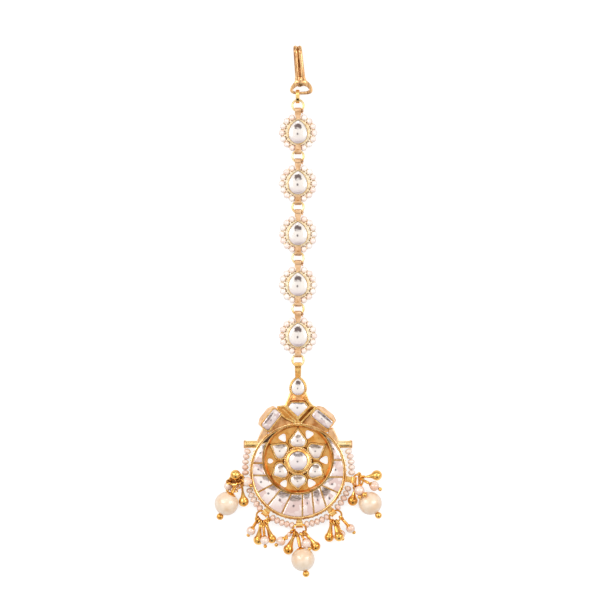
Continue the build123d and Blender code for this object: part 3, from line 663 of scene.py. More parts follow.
# %% Domed stones
def stone_piece(name, outline, low, girdle, top, material, node, up=90):
    """One stone. Up is the direction, in degrees, of the end that holds the painted dark reflection."""
    shape = bmesh.new()
    middle = middle_of_outline(outline)
    face = lift(shape, flat_face(shape, outline, low), girdle - low)
    total = sum(rise for _, rise in DOME)
    for scale, rise in DOME:
        face = lift(shape, face, rise / total * (top - girdle), middle, scale)
    bmesh.ops.poke(shape, faces=[face])
    map_stone(shape, outline, middle, polar(1, up))
    return finish_piece(name, shape, material, node, sharp=60)


def pear_outline(width, tip, shift=0.0, steps=10):
    """A round end of this width about the origin, and a point at (0, tip), moved along Y."""
    half = width / 2
    reach = (half**2 + tip**2) / width
    swing = math.degrees(math.atan2(tip, reach - half))
    right = arc((half - reach, 0), reach, 0, swing, steps)
    left = [(-x, y) for x, y in reversed(right[:-1])]
    return [(x, y + shift) for x, y in right + left + arc((0, 0), half, 180, 360, 2 * steps)[1:-1]]


def moved(outline, place):
    """An outline put down at a place."""
    return [tuple((place @ Vector((x, y, 0))).to_2d()) for x, y in outline]


print(len(pear_outline(5.6, 4.1)), "corners on a pear")


# %% [markdown]
# ## The five stations
#
# A station is a pear-shaped stone in a bezel, on a round flange edged with fourteen seed pearls. Every
# pearl sits in its own small dish, a granule fills each gap, and a gold wrap holds the thread between two
# pearls. A folded strap at each end holds a chain ring.

# %% Places of the stations
RING_RISE = 8.1
SEED = 1.8
SEED_RING = 4.88
SEED_Z = 1.0
CHAIN_Z = 1.35
FIRST_SEED = 22.4
SEED_STEP = 22.8
SEED_ANGLES = [90 + side * (FIRST_SEED + SEED_STEP * k) for side in (-1, 1) for k in range(7)]
GAP_ANGLES = [90 + side * (FIRST_SEED + SEED_STEP * (k + 0.5)) for side in (-1, 1) for k in range(6)]


def middle_of(node):
    """The middle of a solid's box, in millimetres."""
    low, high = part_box(node)
    return (low + high) / (2 * MM)


stations = [middle_of(f"chain_ring_{k}").y - RING_RISE for k in range(1, 6)]
print([round(y, 2) for y in stations])


# %% Straps
def tapered(low_width, low_y, high_width, high_y):
    """An outline with four corners, wider or narrower at the top than at the foot."""
    return [(-low_width / 2, low_y), (low_width / 2, low_y), (high_width / 2, high_y), (-high_width / 2, high_y)]


def rectangle(length, width):
    return tapered(length, -width / 2, length, width / 2)


STRAP = 1.9
LYING = Matrix(((0, 0, 1), (1, 0, 0), (0, 1, 0))).to_4x4()
slot_outline = rounded(rectangle(1.74, 1.4), 0.6)
strap_loop = bezel(slot_outline, 0.3, -STRAP / 2, STRAP / 2)
knot_ring = wire_ring(0.3, 0.26, 12, 6)
print(len(slot_outline), "corners on a strap's loop")


# %% The stations' setting
shape = bmesh.new()
cup = pear_outline(6.2, 4.56, -0.48)
put(shape, bezel(cup, 0.22, 0.5, 2.32))
put(shape, block(cup, 0.0, 0.92))
wrap = wire_ring(0.42, 0.18, 12, 5)
put(shape, wrap, *[facing((*polar(SEED_RING, turn), SEED_Z), (*polar(1, turn + 90), 0)) for turn in GAP_ANGLES])
setting_part = as_part(shape)
print("setting:", len(setting_part.polygons), "faces")


# %% The stations' straps
shape = bmesh.new()
top_y, foot_y = 6.62, -5.64
# the top strap is a straight tab that narrows to the stone's point
tab = [(-0.25, 3.75), (0.25, 3.75), (0.78, 4.6), (0.78, 5.2), (STRAP / 2, 5.25), (STRAP / 2, top_y)]
put(shape, block(tab + [(-x, y) for x, y in reversed(tab[1:])][:-1] + [(-0.78, 4.6)], 0.75, 2.0))
put(shape, block(tapered(1.5, foot_y + 0.4, 1.6, -3.2), 0.75, 1.9))
put(shape, strap_loop, *[Matrix.Translation((0, y, CHAIN_Z)) @ LYING for y in (top_y, foot_y)])
# the folded strip's end lies on the foot, with a step in front of it
put(shape, block(tapered(1.7, foot_y - 0.1, 1.7, foot_y + 1.4), 1.95, 2.12))
straps_part = as_part(shape)
print("straps:", len(straps_part.polygons), "faces")


# %% The stations' flange
# The thin plate under the pearls, with a dish for each and a raised zigzag between them.
shape = bmesh.new()
foot = [(0, 0), (4.3, 0), (4.42, 0.2), (4.3, 0.4), (3.98, 0.5), (3.9, 1.15), (3.8, 1.22), (0, 1.22)]
put(shape, turned(foot, 56))
dish = turned([(0, 0.0), (0.66, 0.0), (0.8, 0.2), (0.7, 0.3), (0, 0.12)], 16)
put(shape, dish, *[at(*polar(SEED_RING, turn), 0.02) for turn in SEED_ANGLES])
put(shape, ball(0.7, 10), *[at(*polar(4.05, turn), 1.1) for turn in GAP_ANGLES])
put(shape, ball(0.5, 8), *[at(*polar(3.5, turn), 1.2) for turn in SEED_ANGLES])
flange_part = as_part(shape)
print("flange:", len(flange_part.polygons), "faces")


# %% The stations' zigzag
# The solder line that runs to and fro between the stone and the pearls.
shape = bmesh.new()
for side in (0, 7):
    zigzag = []
    for k, turn in enumerate(SEED_ANGLES[side:side + 7]):
        zigzag.append(polar(3.7, turn))
        if k < 6:
            zigzag.append(polar(4.35, GAP_ANGLES[side // 7 * 6 + k]))
    put(shape, strip(zigzag, 0.12, 0.4, 1.34))
lattice_part = as_part(shape)
print("lattice:", len(lattice_part.polygons), "faces")


# %% The stations' knots
# Two tight turns of tarnished wire at the right of the top strap, and the slit in the foot, drawn as a raised brown
# block: painted shade.
shape = bmesh.new()
for x, y, z, lean in ((1.28, 6.9, 1.6, 0.5), (1.32, 6.35, 1.5, -0.4), (1.2, 6.0, 1.7, 0.9)):
    put(shape, knot_ring, facing((x, y, z), (lean, 1, 0.3)))
    put(shape, ball(0.42, 8), at(x, y, z))
# painted shade: the slit in the foot
put(shape, block(rounded(tapered(0.9, -5.3, 0.7, -5.0), 0.08), 2.0, 2.16))
knots_part = as_part(shape)
print("knots:", len(knots_part.polygons), "faces")


# %% The five stations
LAYERS = [
    # (name, part, finish, soft edge)
    ("bezel", setting_part, pale_gold, 0.06),
    ("flange", flange_part, cream_gold, 0.0),
    ("straps", straps_part, copper_gold, 0.06),
    ("lattice", lattice_part, bright_gold, 0.0),
    ("wire_knots", knots_part, brown_gold, 0.0),
]
for k, y in enumerate(stations, 1):
    for name, part, finish, soft_edge in LAYERS:
        finish_piece(f"station_{k}_{name}", shape_of(part, at(0, y)), finish, f"station_setting_{k}",
                     soft_edge=soft_edge)


# %% [markdown]
# Seed pearls are never quite equal. Each is a ball pressed in at its two ends, where the thread goes in, and
# is scaled by a few percent with a repeatable noise.

# %% Strings of seed pearls
THREAD = 0.4


def seed_part(size):
    """A ball with a dimple at each pole, for the thread."""
    shape = bmesh.new()
    bmesh.ops.create_uvsphere(shape, u_segments=20, v_segments=14, radius=size / 2)
    for point in shape.verts:
        if abs(point.co.z) > size * 0.499:
            point.co.z *= 0.8
    return as_part(shape)


def uneven(spot):
    """A size a few percent off 1, the same on every run."""
    return 1 + 0.06 * noise.noise(Vector(spot) * 0.9)


print("thread:", THREAD, "mm")


# %% One string
def pearl_string(shape, part, middle, radius, angles, z, plump=1.0):
    """Pearls at angles round a middle, and the thread through them. Plump widens them across the thread."""
    for turn in angles:
        spot = (*polar(radius, turn, middle), z)
        wide = Matrix.Diagonal((plump, plump, 1, 1)) @ Matrix.Scale(uneven(spot), 4)
        put(shape, part, facing(spot, (*polar(1, turn + 90), 0)) @ wide)
    thread = bmesh.new()
    start = polar(radius, angles[0], middle)
    section = bmesh.ops.create_circle(thread, segments=8, radius=THREAD / 2, matrix=facing(
        (*start, z), (*polar(1, angles[0] + 90), 0)))["verts"]
    edges = list({edge for point in section for edge in point.link_edges})
    bmesh.ops.spin(thread, geom=section + edges, cent=(*middle, z), axis=(0, 0, 1),
                   angle=math.radians(angles[-1] - angles[0]), steps=24)
    bmesh.ops.holes_fill(thread, edges=thread.edges[:], sides=8)
    put(shape, as_part(thread))


print("a pearl at the start is", round(uneven((0, 0, 0)), 2), "of its size")


# %% The stations' strings
seed = seed_part(SEED * 1.05)
for k, y in enumerate(stations, 1):
    shape = bmesh.new()
    for side in (0, 7):
        pearl_string(shape, seed, (0, y), SEED_RING, SEED_ANGLES[side:side + 7], SEED_Z)
    finish_piece(f"station_{k}_seed_pearls", shape, seed_pearl, f"station_pearls_{k}", sharp=60)


# %% Station stones
for k, y in enumerate(stations, 1):
    outline = moved(pear_outline(5.74, 4.22, -0.48), at(0, y))
    stone_piece(f"station_{k}_pear_stone", outline, 0.96, 2.15, 2.9, pear_glass, f"station_stone_{k}")


# %% [markdown]
# ## Chain rings
#
# Six plain rings of round wire join the stations. They are turned: a small circle is spun round the ring's
# own axis.

# %% Chain rings
chain_ring = wire_ring(1.68, 0.65, 40, 12)
for k in range(1, 7):
    node = f"chain_ring_{k}"
    finish_piece(f"{node}_wire", shape_of(chain_ring, Matrix.Translation(middle_of(node))), pale_gold, node)


# %% [markdown]
# ## The pendant's plate, rim and well
#
# The back is a flat plate with six pierced holes between the petals. Two walls stand on it: the outer rim,
# and the round well that holds the flower. They touch at the top, so the space between them is a crescent.

# %% Plate
RIM = (0, -3.15)
WELL = (0, 0.6)
HOLES = [
    # (degrees, distance, length, width)
    (1.5, 7.45, 3.0, 3.3),
    (67.3, 8.1, 3.0, 3.3),
    (123.5, 7.8, 2.9, 3.1),
    (180.5, 7.95, 2.2, 2.4),
    (238.5, 7.6, 2.7, 2.9),
    (300.5, 7.3, 3.0, 3.3),
]


def plate(loops, low, high):
    """A flat plate cut to the first loop and pierced by the others."""
    shape = bmesh.new()
    edges = []
    for loop in loops:
        points = [shape.verts.new((x, y, low)) for x, y in loop]
        edges += [shape.edges.new(pair) for pair in zip(points, points[1:] + points[:1])]
    bmesh.ops.triangle_fill(shape, use_beauty=True, use_dissolve=False, edges=edges)
    raise_up(shape, bmesh.ops.extrude_face_region(shape, geom=shape.faces[:])["geom"], high - low)
    return as_part(shape)


def circle(radius, middle, steps=96):
    return arc(middle, radius, 0, 360 - 360 / steps, steps - 1)


holes = []
for turn, distance, length, width in HOLES:
    corners = [(distance - length / 2, 0), (distance + length / 2, width / 2), (distance + length / 2, -width / 2)]
    holes.append(rounded(moved(corners, at(turn=turn)), 1.15, 6))
finish_piece("pierced_back_plate", shape_of(plate([circle(14.1, RIM)] + holes, 0.0, 1.0)), well_gold, soft_edge=0.08)


# %% Rim and well
rim_profile = [(14.3, 0), (14.42, 0.5), (14.42, 3.2), (14.36, 3.38), (14.26, 3.42), (14.18, 3.32), (14.14, 2.8),
               (13.9, 2.8), (13.86, 3.32), (13.76, 3.42), (13.64, 3.38), (13.56, 3.2), (13.78, 3.1), (13.78, 0.2)]
shape = bmesh.new()
put(shape, turned(rim_profile, 128, closed=True), at(*RIM))
# painted shade: the groove between the rim's two crests takes the duller brown plate
groove = bmesh.new()
put(groove, turned([(13.84, 2.6), (14.16, 2.6), (14.16, 2.95), (13.84, 2.95)], 128, closed=True), at(*RIM))
finish_piece("rim_groove", groove, brown_gold)
finish_piece("outer_rim", shape, pale_gold)

well_profile = [(9.5, 0.6), (9.55, 1.02), (9.8, 1.7), (9.95, 2.9), (10.04, 3.22), (10.2, 3.36), (10.38, 3.22),
                (10.46, 2.9), (10.46, 0.6)]
finish_piece("well_wall", shape_of(turned(well_profile, 112, closed=True), at(*WELL)), well_gold)


# %% [markdown]
# ## The flower
#
# Six pear-shaped petals point outwards from a round stone. Each has its own bezel, and the middle stone has
# a broad collar with a milled edge: a row of tiny beads rolled into the metal.

# %% Reach of the well
PETAL_REACH = 9.65


def well_reach(degrees, radius):
    """Distance from the flower's middle to a circle round the well's middle."""
    turn = math.radians(degrees)
    return WELL[1] * math.sin(turn) + math.sqrt(radius**2 - (WELL[1] * math.cos(turn)) ** 2)


def petal_outline(tip, grow=0.0):
    """A drop shape that points along Y: a flat base that follows the middle stone, and a point at (0, tip)."""
    right = [(1.15, 4.3 - grow), (2.05, 4.7 - grow), (2.36 + grow, 5.6), (2.16 + grow, 6.4), (1.6 + grow, 7.15),
             (0.8 + 0.8 * grow, 7.9 + 0.5 * (tip - 8.5))]
    corners = right + [(0, tip + 1.4 * grow)] + [(-x, y) for x, y in reversed(right)] + [(0, 4.22 - grow)]
    return rounded(corners, 0.3, 3)


print("the well reaches", round(well_reach(90, PETAL_REACH), 2), "mm up from the middle")


# %% Petals
petal_angles = [90 + 60 * k for k in range(6)]
seams = bmesh.new()
shape = bmesh.new()
for k, turn in enumerate(petal_angles, 1):
    tip = well_reach(turn, PETAL_REACH) - 0.85
    place = at(turn=turn - 90)
    put(shape, bezel(moved(petal_outline(tip, 0.42), place), 0.36, 0.9, 2.72))
    # painted shade: a thin dark ring on the floor round each petal's bezel
    put(seams, bezel(moved(petal_outline(tip, 0.66), place), 0.3, 0.98, 1.07))
    stone_piece(f"petal_{k}_stone", moved(petal_outline(tip), place), 1.26, 2.45, 3.1, petal_glass, f"petal_stone_{k}")
finish_piece("petal_bezels", shape, gold_plate, soft_edge=0.06)


# %% Centre
MILLING_BEADS = 38
collar_profile = [(2.86, 1.0), (2.86, 3.38), (3.0, 3.45), (3.16, 3.38),
                  (3.4, 3.34), (3.5, 3.28), (3.56, 2.9), (3.9, 2.85),
                  (4.2, 2.4), (4.25, 1.0)]
finish_piece("centre_collar", shape_of(turned(collar_profile, 72, closed=True)), deep_gold)
beads = [at(*polar(3.92, 360 / MILLING_BEADS * k), 3.0) for k in range(MILLING_BEADS)]
finish_piece("collar_milling", shape_of(ball(0.6, 10), *beads), pale_gold)
stone_piece("centre_round_stone", arc((0, 0), 2.8, 0, 352.5, 47), 1.86, 3.25, 4.0, round_glass, "rosette_stone")
# painted shade: a dark ring on the floor at the collar's foot
put(seams, turned([(4.2, 0.95), (4.6, 0.95), (4.6, 1.07), (4.2, 1.07)], 64, closed=True))
finish_piece("flower_shade_lines", seams, seam_gold)


# %% [markdown]
# ## The crescent
#
# Twelve hand-fitted stones fill the crescent. Their outlines are taken from the solids' own top faces: a copy is
# merged, and its flat triangles are dissolved into one face. Shellac shows dark between them, partly its own colour and
# partly painted shade.

# %% Shellac
# dark brown shellac under the stones: glossy, with slow amber streaks; its darkness also stands as painted shade, so
# that the gaps look deep
lac, node, shader = new_material("dark_shellac", {"Roughness": 0.3, "IOR": 1.52})
place = node("TexCoord").outputs["Object"]
streaks = node("TexNoise", {"Vector": place, "Scale": 1 / (0.6 * MM)})
feed(shader, {"Base Color": node("Mix", {0: streaks, 6: "#3E1E0A", 7: "#6E3E18"})})
print(lac.name)


# %% Outlines of the stones
def top_outline(node):
    """The outline of a solid's flat top, in millimetres."""
    shape = bmesh.new()
    shape.from_mesh(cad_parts[node].data)
    bmesh.ops.remove_doubles(shape, verts=shape.verts, dist=1e-6)
    bmesh.ops.dissolve_limit(shape, angle_limit=math.radians(3), verts=shape.verts, edges=shape.edges)
    top = max(shape.faces, key=lambda face: (round(face.calc_center_median().z, 5), face.calc_area()))
    outline = [tuple(point.co.to_2d() / MM) for point in top.verts]
    shape.free()
    return outline


print("a crescent stone has", len(top_outline("crescent_stone_1")), "corners")


# %% Shellac bed
finish_piece("shellac_bed", shape_of(plate([circle(13.85, RIM), circle(10.4, WELL, 72)], 1.0, 2.2)), lac)


# %% Crescent stones
crescent_walls = bmesh.new()


def crescent_piece(number):
    """A flat stone in a thin wall of gold, with a steep narrow edge and a barely domed table."""
    node = f"crescent_stone_{number}"
    outline = top_outline(node)
    middle = middle_of_outline(outline)
    put(crescent_walls, bezel(outline, 0.13, 1.1, 3.22))
    shape = bmesh.new()
    face = flat_face(shape, outline, 1.12)
    edge = bmesh.ops.inset_region(shape, faces=[face], thickness=0.14, use_boundary=True, use_even_offset=True)["faces"]
    bmesh.ops.delete(shape, geom=edge, context="FACES")
    face = lift(shape, face, 1.98)
    for wall, rise in ((0.1, 0.14), (0.18, 0.06)):
        bmesh.ops.inset_region(shape, faces=[face], thickness=wall, depth=rise, use_even_offset=True)
    face = lift(shape, face, 0.1, middle, 0.6)
    face = lift(shape, face, 0.06, middle, 0.5)
    bmesh.ops.poke(shape, faces=[face])
    inward = (Vector(WELL) - middle).normalized()
    map_stone(shape, outline, middle, (inward + Vector((0, 0.8))).normalized())
    finish_piece(f"crescent_{number}_stone", shape, crescent_glass, node, sharp=25)


for number in range(1, 13):
    crescent_piece(number)
finish_piece("crescent_walls", crescent_walls, deep_gold)


# %% [markdown]
# ## The crown
#
# Above the flower stand a drop stone, a kite-shaped stone and two baguettes like wings. Thin walls divide
# the plate between them into open cells.

# %% Crown
CROWN_PLATE = [
    (-2.4, 20.6), (-3.6, 17.3), (-4.1, 16.4), (-6.3, 16.0), (-9.6, 8.4), (-6.5, 8.55), (-3.4, 10.3),
    (0.0, 10.87), (3.4, 10.3), (6.5, 8.55), (9.9, 8.6), (5.6, 16.2), (4.5, 16.6), (3.3, 18.0), (2.4, 20.6),
]
CROWN_WALLS = [
    # paths (x, y) seen from the front
    [(-1.9, 19.4), (-3.2, 17.4), (-3.95, 16.15), (-0.05, 12.2), (3.95, 16.35), (3.2, 17.6), (1.9, 19.5)],
    [(-6.2, 15.9), (-4.0, 16.2)],
    [(-5.95, 15.6), (-4.6, 13.95), (-3.6, 13.1), (-2.2, 12.4), (-0.55, 11.7)],
    [(4.95, 16.15), (2.8, 13.9), (0.7, 11.65)],
]
DROP_Y = 21.66
KITE = [(-1.9, 17.5), (1.85, 17.5), (3.0, 16.1), (0, 13.2), (-3.0, 16.1)]
WINGS = [
    # (side, x, y, turn of the long axis)
    ("left", -8.04, 12.4, 51.6),
    ("right", 7.32, 12.6, -38.6),
]


print(len(CROWN_WALLS), "walls and", len(WINGS), "wings")


# %% Cell floors
CELLS = {
    # floors between the walls, by finish; the dark floor is painted shade
    "brown": [
        [(-5.9, 15.5), (-4.6, 13.95), (-3.6, 13.1), (-2.2, 12.4), (-0.3, 11.6), (-0.3, 10.95), (-3.4, 10.35),
         (-6.5, 8.7), (-9.3, 8.9), (-9.0, 11.0)],
        [(4.95, 16.1), (8.9, 11.5), (9.4, 8.9), (6.5, 8.7), (3.4, 10.35), (0.3, 11.0), (0.7, 11.6), (2.8, 13.9)],
    ],
    "golden": [[(-5.9, 15.8), (-4.6, 13.95), (-3.6, 13.1), (-2.2, 12.4), (-0.4, 11.8), (-0.05, 12.1), (-3.95, 16.1)]],
    "dark": [[(3.95, 16.3), (4.95, 16.15), (2.8, 13.9), (0.7, 11.7), (0.1, 12.2)]],
}
for finish, material in (("brown", brown_gold), ("golden", deep_gold), ("dark", seam_gold)):
    shape = bmesh.new()
    for outline in CELLS[finish]:
        put(shape, block(outline, 1.0, 1.25))
    finish_piece(f"{finish}_cell_floors", shape, material)

shape = bmesh.new()
# painted shade: dark strips at the foot of the crown's walls
for path in CROWN_WALLS[2:]:
    put(shape, strip(path, 0.8, 1.0, 1.34))
put(shape, strip(CROWN_WALLS[0][1:-1], 0.8, 1.0, 1.34))
# painted shade: dark strips where the lower cells meet the rim
for side in (-1, 1):
    path = [(side * x, y) for x, y in [(1.2, 11.0), (3.4, 10.5), (5.6, 9.7), (7.6, 8.7)]]
    put(shape, strip(path, 0.35, 1.0, 1.4))
finish_piece("crown_shade_lines", shape, seam_gold)


# %% Roof and plate
shape = bmesh.new()
roof = bmesh.new()
face = lift(roof, flat_face(roof, [(-3.1, 17.5), (3.1, 17.5), (2.2, 20.2), (-2.2, 20.2)], 1.0), 1.2)
lift(roof, face, 0.75, (0, 19.2), 0.55)
put(shape, as_part(roof))
finish_piece("crown_roof", shape, brown_gold, soft_edge=0.1)

finish_piece("crown_plate", shape_of(block(CROWN_PLATE, 0.0, 1.15)), gold_plate, soft_edge=0.3)

shape = bmesh.new()
for side in (-1, 1):
    shoulder = [(side * x, y) for x, y in [(9.2, 9.6), (10.5, 10.0), (12.4, 5.8), (11.8, 4.6), (9.0, 7.4)]]
    put(shape, block(shoulder, 0.0, 2.2))
finish_piece("crown_shoulders", shape, copper_gold, soft_edge=0.3)


# %% Crown walls and cups
shape = bmesh.new()
for path in CROWN_WALLS:
    put(shape, strip(path, 0.5, 1.0, 2.95))
put(shape, strip([(-4.45, 15.75), (-2.5, 13.85), (-0.5, 12.0)], 0.4, 1.0, 2.8))
put(shape, bezel(moved(rounded(KITE, 0.3), at(0, 15.6) @ Matrix.Scale(1.13, 4) @ at(0, -15.6)), 0.3, 1.0, 3.02))
drop_cup = pear_outline(5.3, 3.75, DROP_Y)
put(shape, block(drop_cup, 0.0, 1.2))
put(shape, bezel(pear_outline(4.6, 3.45, DROP_Y), 0.26, 1.0, 3.02))
put(shape, bezel(drop_cup, 0.36, 0.9, 2.5))
bail_y = 37.5 - 7.35 - 1.68 + 0.2
put(shape, block(tapered(1.6, 24.4, STRAP, bail_y - 0.4), 0.75, 1.85))
put(shape, strap_loop, Matrix.Translation((0, bail_y, CHAIN_Z)) @ LYING)
finish_piece("crown_walls", shape, gold_plate, soft_edge=0.07)

stone_piece("drop_stone_glass", pear_outline(3.96, 3.12, DROP_Y), 1.16, 2.85, 3.4, pear_glass, "drop_stone")
stone_piece("kite_stone_glass", rounded(KITE, 0.25), 1.16, 2.85, 3.4, kite_glass, "kite_stone")


# %% Wings
cheeks = bmesh.new()
cups = bmesh.new()
for side, x, y, turn in WINGS:
    place = at(x, y, 0, turn)
    put(cups, bezel(rounded(rectangle(7.2, 3.5), 0.8, 2), 0.3, 0.0, 3.42), place)
    cheek = bmesh.new()
    loops = []
    for z, outline in ((0.0, [(-3.7, 1.0), (3.7, 1.0), (3.6, 2.2), (1.9, 3.05), (-1.9, 3.05), (-3.6, 2.2)]),
                       (3.2, [(-3.4, 1.0), (3.4, 1.0), (3.3, 1.4), (1.8, 1.85), (-1.8, 1.85), (-3.3, 1.4)])):
        loops += flat_face(cheek, outline, z).edges[:]
    bmesh.ops.bridge_loops(cheek, edges=loops)
    put(cheeks, as_part(cheek), place)
    outline = moved(rounded(rectangle(6.5, 2.8), 0.7, 2), place)
    stone_piece(f"wing_{side}_stone", outline, 1.16, 3.25, 3.8, baguette_glass, f"wing_stone_{side}", up=turn + 90)
finish_piece("wing_bezels", cups, gold_plate, soft_edge=0.06)
finish_piece("wing_cheeks", cheeks, copper_gold, soft_edge=0.3)


# %% [markdown]
# ## The rim's fittings
#
# Five strap loops stand out from the rim for the clusters, each a short barrel with a collar at both ends.
# Two open tubes point sideways. Between them, six strings of five seed pearls run round the rim, with a
# granule of gold in every gap.

# %% Loops and tubes
RIM_LOOPS = {
    # name: (degrees about the rim's centre, distance of the bore from it)
    "left": (192.0, 16.9),
    "lower_left": (232.0, 15.9),
    "bottom": (271.5, 16.0),
    "lower_right": (310.0, 16.2),
    "right": (351.0, 16.9),
}
LOOP_Z = 1.5
LOOP_WIDTH = 1.9
loop_outline = rounded(rectangle(1.84, 1.56), 0.7)
loop_barrel = bezel(loop_outline, 0.3, -LOOP_WIDTH / 2, LOOP_WIDTH / 2)
collar_outline = rounded(rectangle(2.1, 1.84), 0.8)
loop_collar = bezel(collar_outline, 0.42, -0.17, 0.17)
# the barrel's own axis is turned to run along Y, across the strap
ACROSS = Matrix(((1, 0, 0), (0, 0, -1), (0, 1, 0))).to_4x4()

shape = bmesh.new()
for turn, reach in RIM_LOOPS.values():
    place = at(*RIM) @ at(turn=turn)
    neck = [(13.9, -0.95), (reach - 0.7, -0.8), (reach - 0.7, 0.8), (13.9, 0.95)]
    put(shape, block(neck, 0.9, 2.1), place)
    put(shape, loop_barrel, place @ Matrix.Translation((reach, 0, LOOP_Z)) @ ACROSS)
    put(shape, loop_collar, *[
        place @ Matrix.Translation((reach, side * (LOOP_WIDTH / 2 - 0.12), LOOP_Z)) @ ACROSS for side in (-1, 1)])
finish_piece("rim_loops", shape, gold_plate, soft_edge=0.07)

tube_profile = [(0.5, -2.3), (0.5, -0.3), (1.0, -0.3), (1.22, -0.34), (1.26, -0.5), (1.2, -0.68), (1.08, -0.76),
                (1.08, -4.3), (0.6, -4.3)]
mouth_profile = [(0.46, -0.5), (0.46, 0.0), (0.6, 0.1), (1.05, 0.1),
                 (1.2, -0.02), (1.22, -0.25), (1.1, -0.4), (0.7, -0.5)]
tubes = bmesh.new()
mouths = bmesh.new()
for side in (-1, 1):
    place = facing((side * 16.2, 4.95, LOOP_Z), (side, 0, 0))
    put(tubes, turned(tube_profile, 32, closed=True), place)
    put(mouths, turned(mouth_profile, 32, closed=True), place)
finish_piece("side_tubes", tubes, pale_gold)
finish_piece("tube_mouths", mouths, copper_gold)


# %% Rim pearls and granules
RIM_RUNS = [
    # (first pearl's degrees, last pearl's degrees, pearls, distances of the first and last from the rim's centre)
    (158.5, 181.5, 5, 16.3, 15.75),
    (201.5, 224.0, 5, 15.6, 15.9),
    (241.5, 263.5, 5, 15.95, 16.3),
    (279.5, 302.0, 5, 16.1, 16.2),
    (318.0, 341.0, 5, 16.0, 15.85),
    (358.5, 381.5, 5, 16.1, 16.3),
]
rim_seed = seed_part(1.66)
granule = ball(0.5, 10)
strings = bmesh.new()
grains = bmesh.new()
for first, last, count, near, far in RIM_RUNS:
    step = (last - first) / (count - 1)
    # the string is an arc about a middle a little off the rim's, so that its ends have their own distances
    ends = [polar(near, first, RIM), polar(far, last, RIM)]
    reach = (near + far) / 2
    chord = ends[1] - ends[0]
    middle = (ends[0] + ends[1]) / 2 + Vector((-chord.y, chord.x)).normalized() * math.sqrt(
        reach**2 - chord.length_squared / 4)
    start = math.degrees(math.atan2(*(ends[0] - middle).yx))
    turn = math.degrees((ends[0] - middle).angle(ends[1] - middle)) / (count - 1)
    pearl_string(strings, rim_seed, middle, reach, [start + k * turn for k in range(count)], 1.15, 1.28)
    gaps = [first + (k + 0.5) * step for k in range(-1, count)]
    put(grains, granule, *[at(*polar(14.42, turn, RIM), 1.5) for turn in gaps])
finish_piece("rim_seed_pearls", strings, rim_pearl, "rim_pearls", sharp=60)
finish_piece("rim_granules", grains, gold_plate)


# %% [markdown]
# ## The clusters
#
# Each loop holds a jump ring, and each ring four or five drops. A gold drop is a hollow ball whose neck
# flares into it, turned in one profile. A pearl hangs on a wire pin: an eye, a few turns of wire wrapped
# under it, a small cap, and a bead that stops the pearl.

# %% Jump rings
JUMP_RADIUS = 1.95
JUMP_WIRE = 0.6
RISE = {"left": 60.0, "lower_left": 36.0, "bottom": 36.0, "lower_right": 36.0, "right": 40.0}
rings = {}
for name, (turn, reach) in RIM_LOOPS.items():
    outward = Vector((*polar(1, turn), 0))
    across = Vector((-outward.y, outward.x, 0))
    climb = math.radians(RISE[name])
    along = outward * math.cos(climb) + Vector((0, 0, math.sin(climb)))
    middle = Vector((*polar(reach - 0.28, turn, RIM), LOOP_Z)) + along * JUMP_RADIUS
    normal = across.cross(along)
    radius = JUMP_RADIUS
    if name == "left":
        # this one is wider, and has turned in its loop, so that it stands steeply under the gold drop
        middle, normal, radius = Vector((-18.5, -5.5, 3.2)), Vector((-0.27, 0.74, 0.62)).normalized(), 2.25
    rings[name] = (middle, normal if normal.z > 0 else -normal, radius)
    shape = shape_of(wire_ring(radius, JUMP_WIRE, 44, 10), facing(middle, normal))
    finish_piece(f"jump_ring_{name}_wire", shape, bright_gold, f"jump_ring_{name}")


# %% Drops
DROPS = [
    # (cluster, kind, x, y, z, diameter, place on the jump ring in degrees)
    ("left", "gold", -18.7, -4.1, 4.7, 3.1, 95.0),
    ("left", "pearl", -15.2, -6.2, 4.1, 2.9, 60.0),
    ("left", "pearl", -20.9, -7.5, 1.85, 2.6, 185.0),
    ("left", "gold", -16.3, -12.2, 1.6, 3.15, 320.0),
    ("left", "big", -21.4, -12.75, 3.56, 7.1, 270.0),
    ("right", "gold", 23.6, -4.35, 1.6, 3.15, 30.0),
    ("right", "pearl", 22.86, -7.5, 3.6, 2.9, 5.0),
    ("right", "pearl", 18.4, -8.8, 4.9, 3.0, 70.0),
    ("right", "big", 21.6, -12.66, 3.5, 6.95, 285.0),
    ("right", "gold", 16.4, -11.94, 1.6, 3.1, 240.0),
    ("bottom", "gold", -2.88, -26.55, 1.6, 3.1, 225.0),
    ("bottom", "pearl", -5.13, -24.06, 1.5, 2.8, 195.0),
    ("bottom", "big", 1.47, -29.46, 3.52, 7.0, 252.0),
    ("bottom", "gold", 5.22, -25.6, 1.55, 3.0, 322.0),
    ("bottom", "pearl", 2.5, -24.6, 3.9, 2.8, 285.0),
    ("lower_left", "pearl", -14.07, -20.94, 1.5, 2.7, 218.0),
    ("lower_left", "gold", -11.85, -23.7, 1.55, 3.0, 255.0),
    ("lower_left", "pearl", -9.96, -23.7, 3.8, 2.7, 275.0),
    ("lower_left", "gold", -7.86, -23.4, 1.4, 2.7, 298.0),
    ("lower_right", "gold", 9.36, -22.86, 1.5, 2.9, 230.0),
    ("lower_right", "gold", 12.24, -22.56, 4.1, 2.9, 260.0),
    ("lower_right", "pearl", 12.9, -22.0, 1.45, 2.6, 281.0),
    ("lower_right", "pearl", 15.7, -20.25, 1.45, 2.7, 335.0),
]
EYE_RADIUS = 0.68
NECKS = {"left": 0.34, "right": 0.28}


print(len(DROPS), "drops")


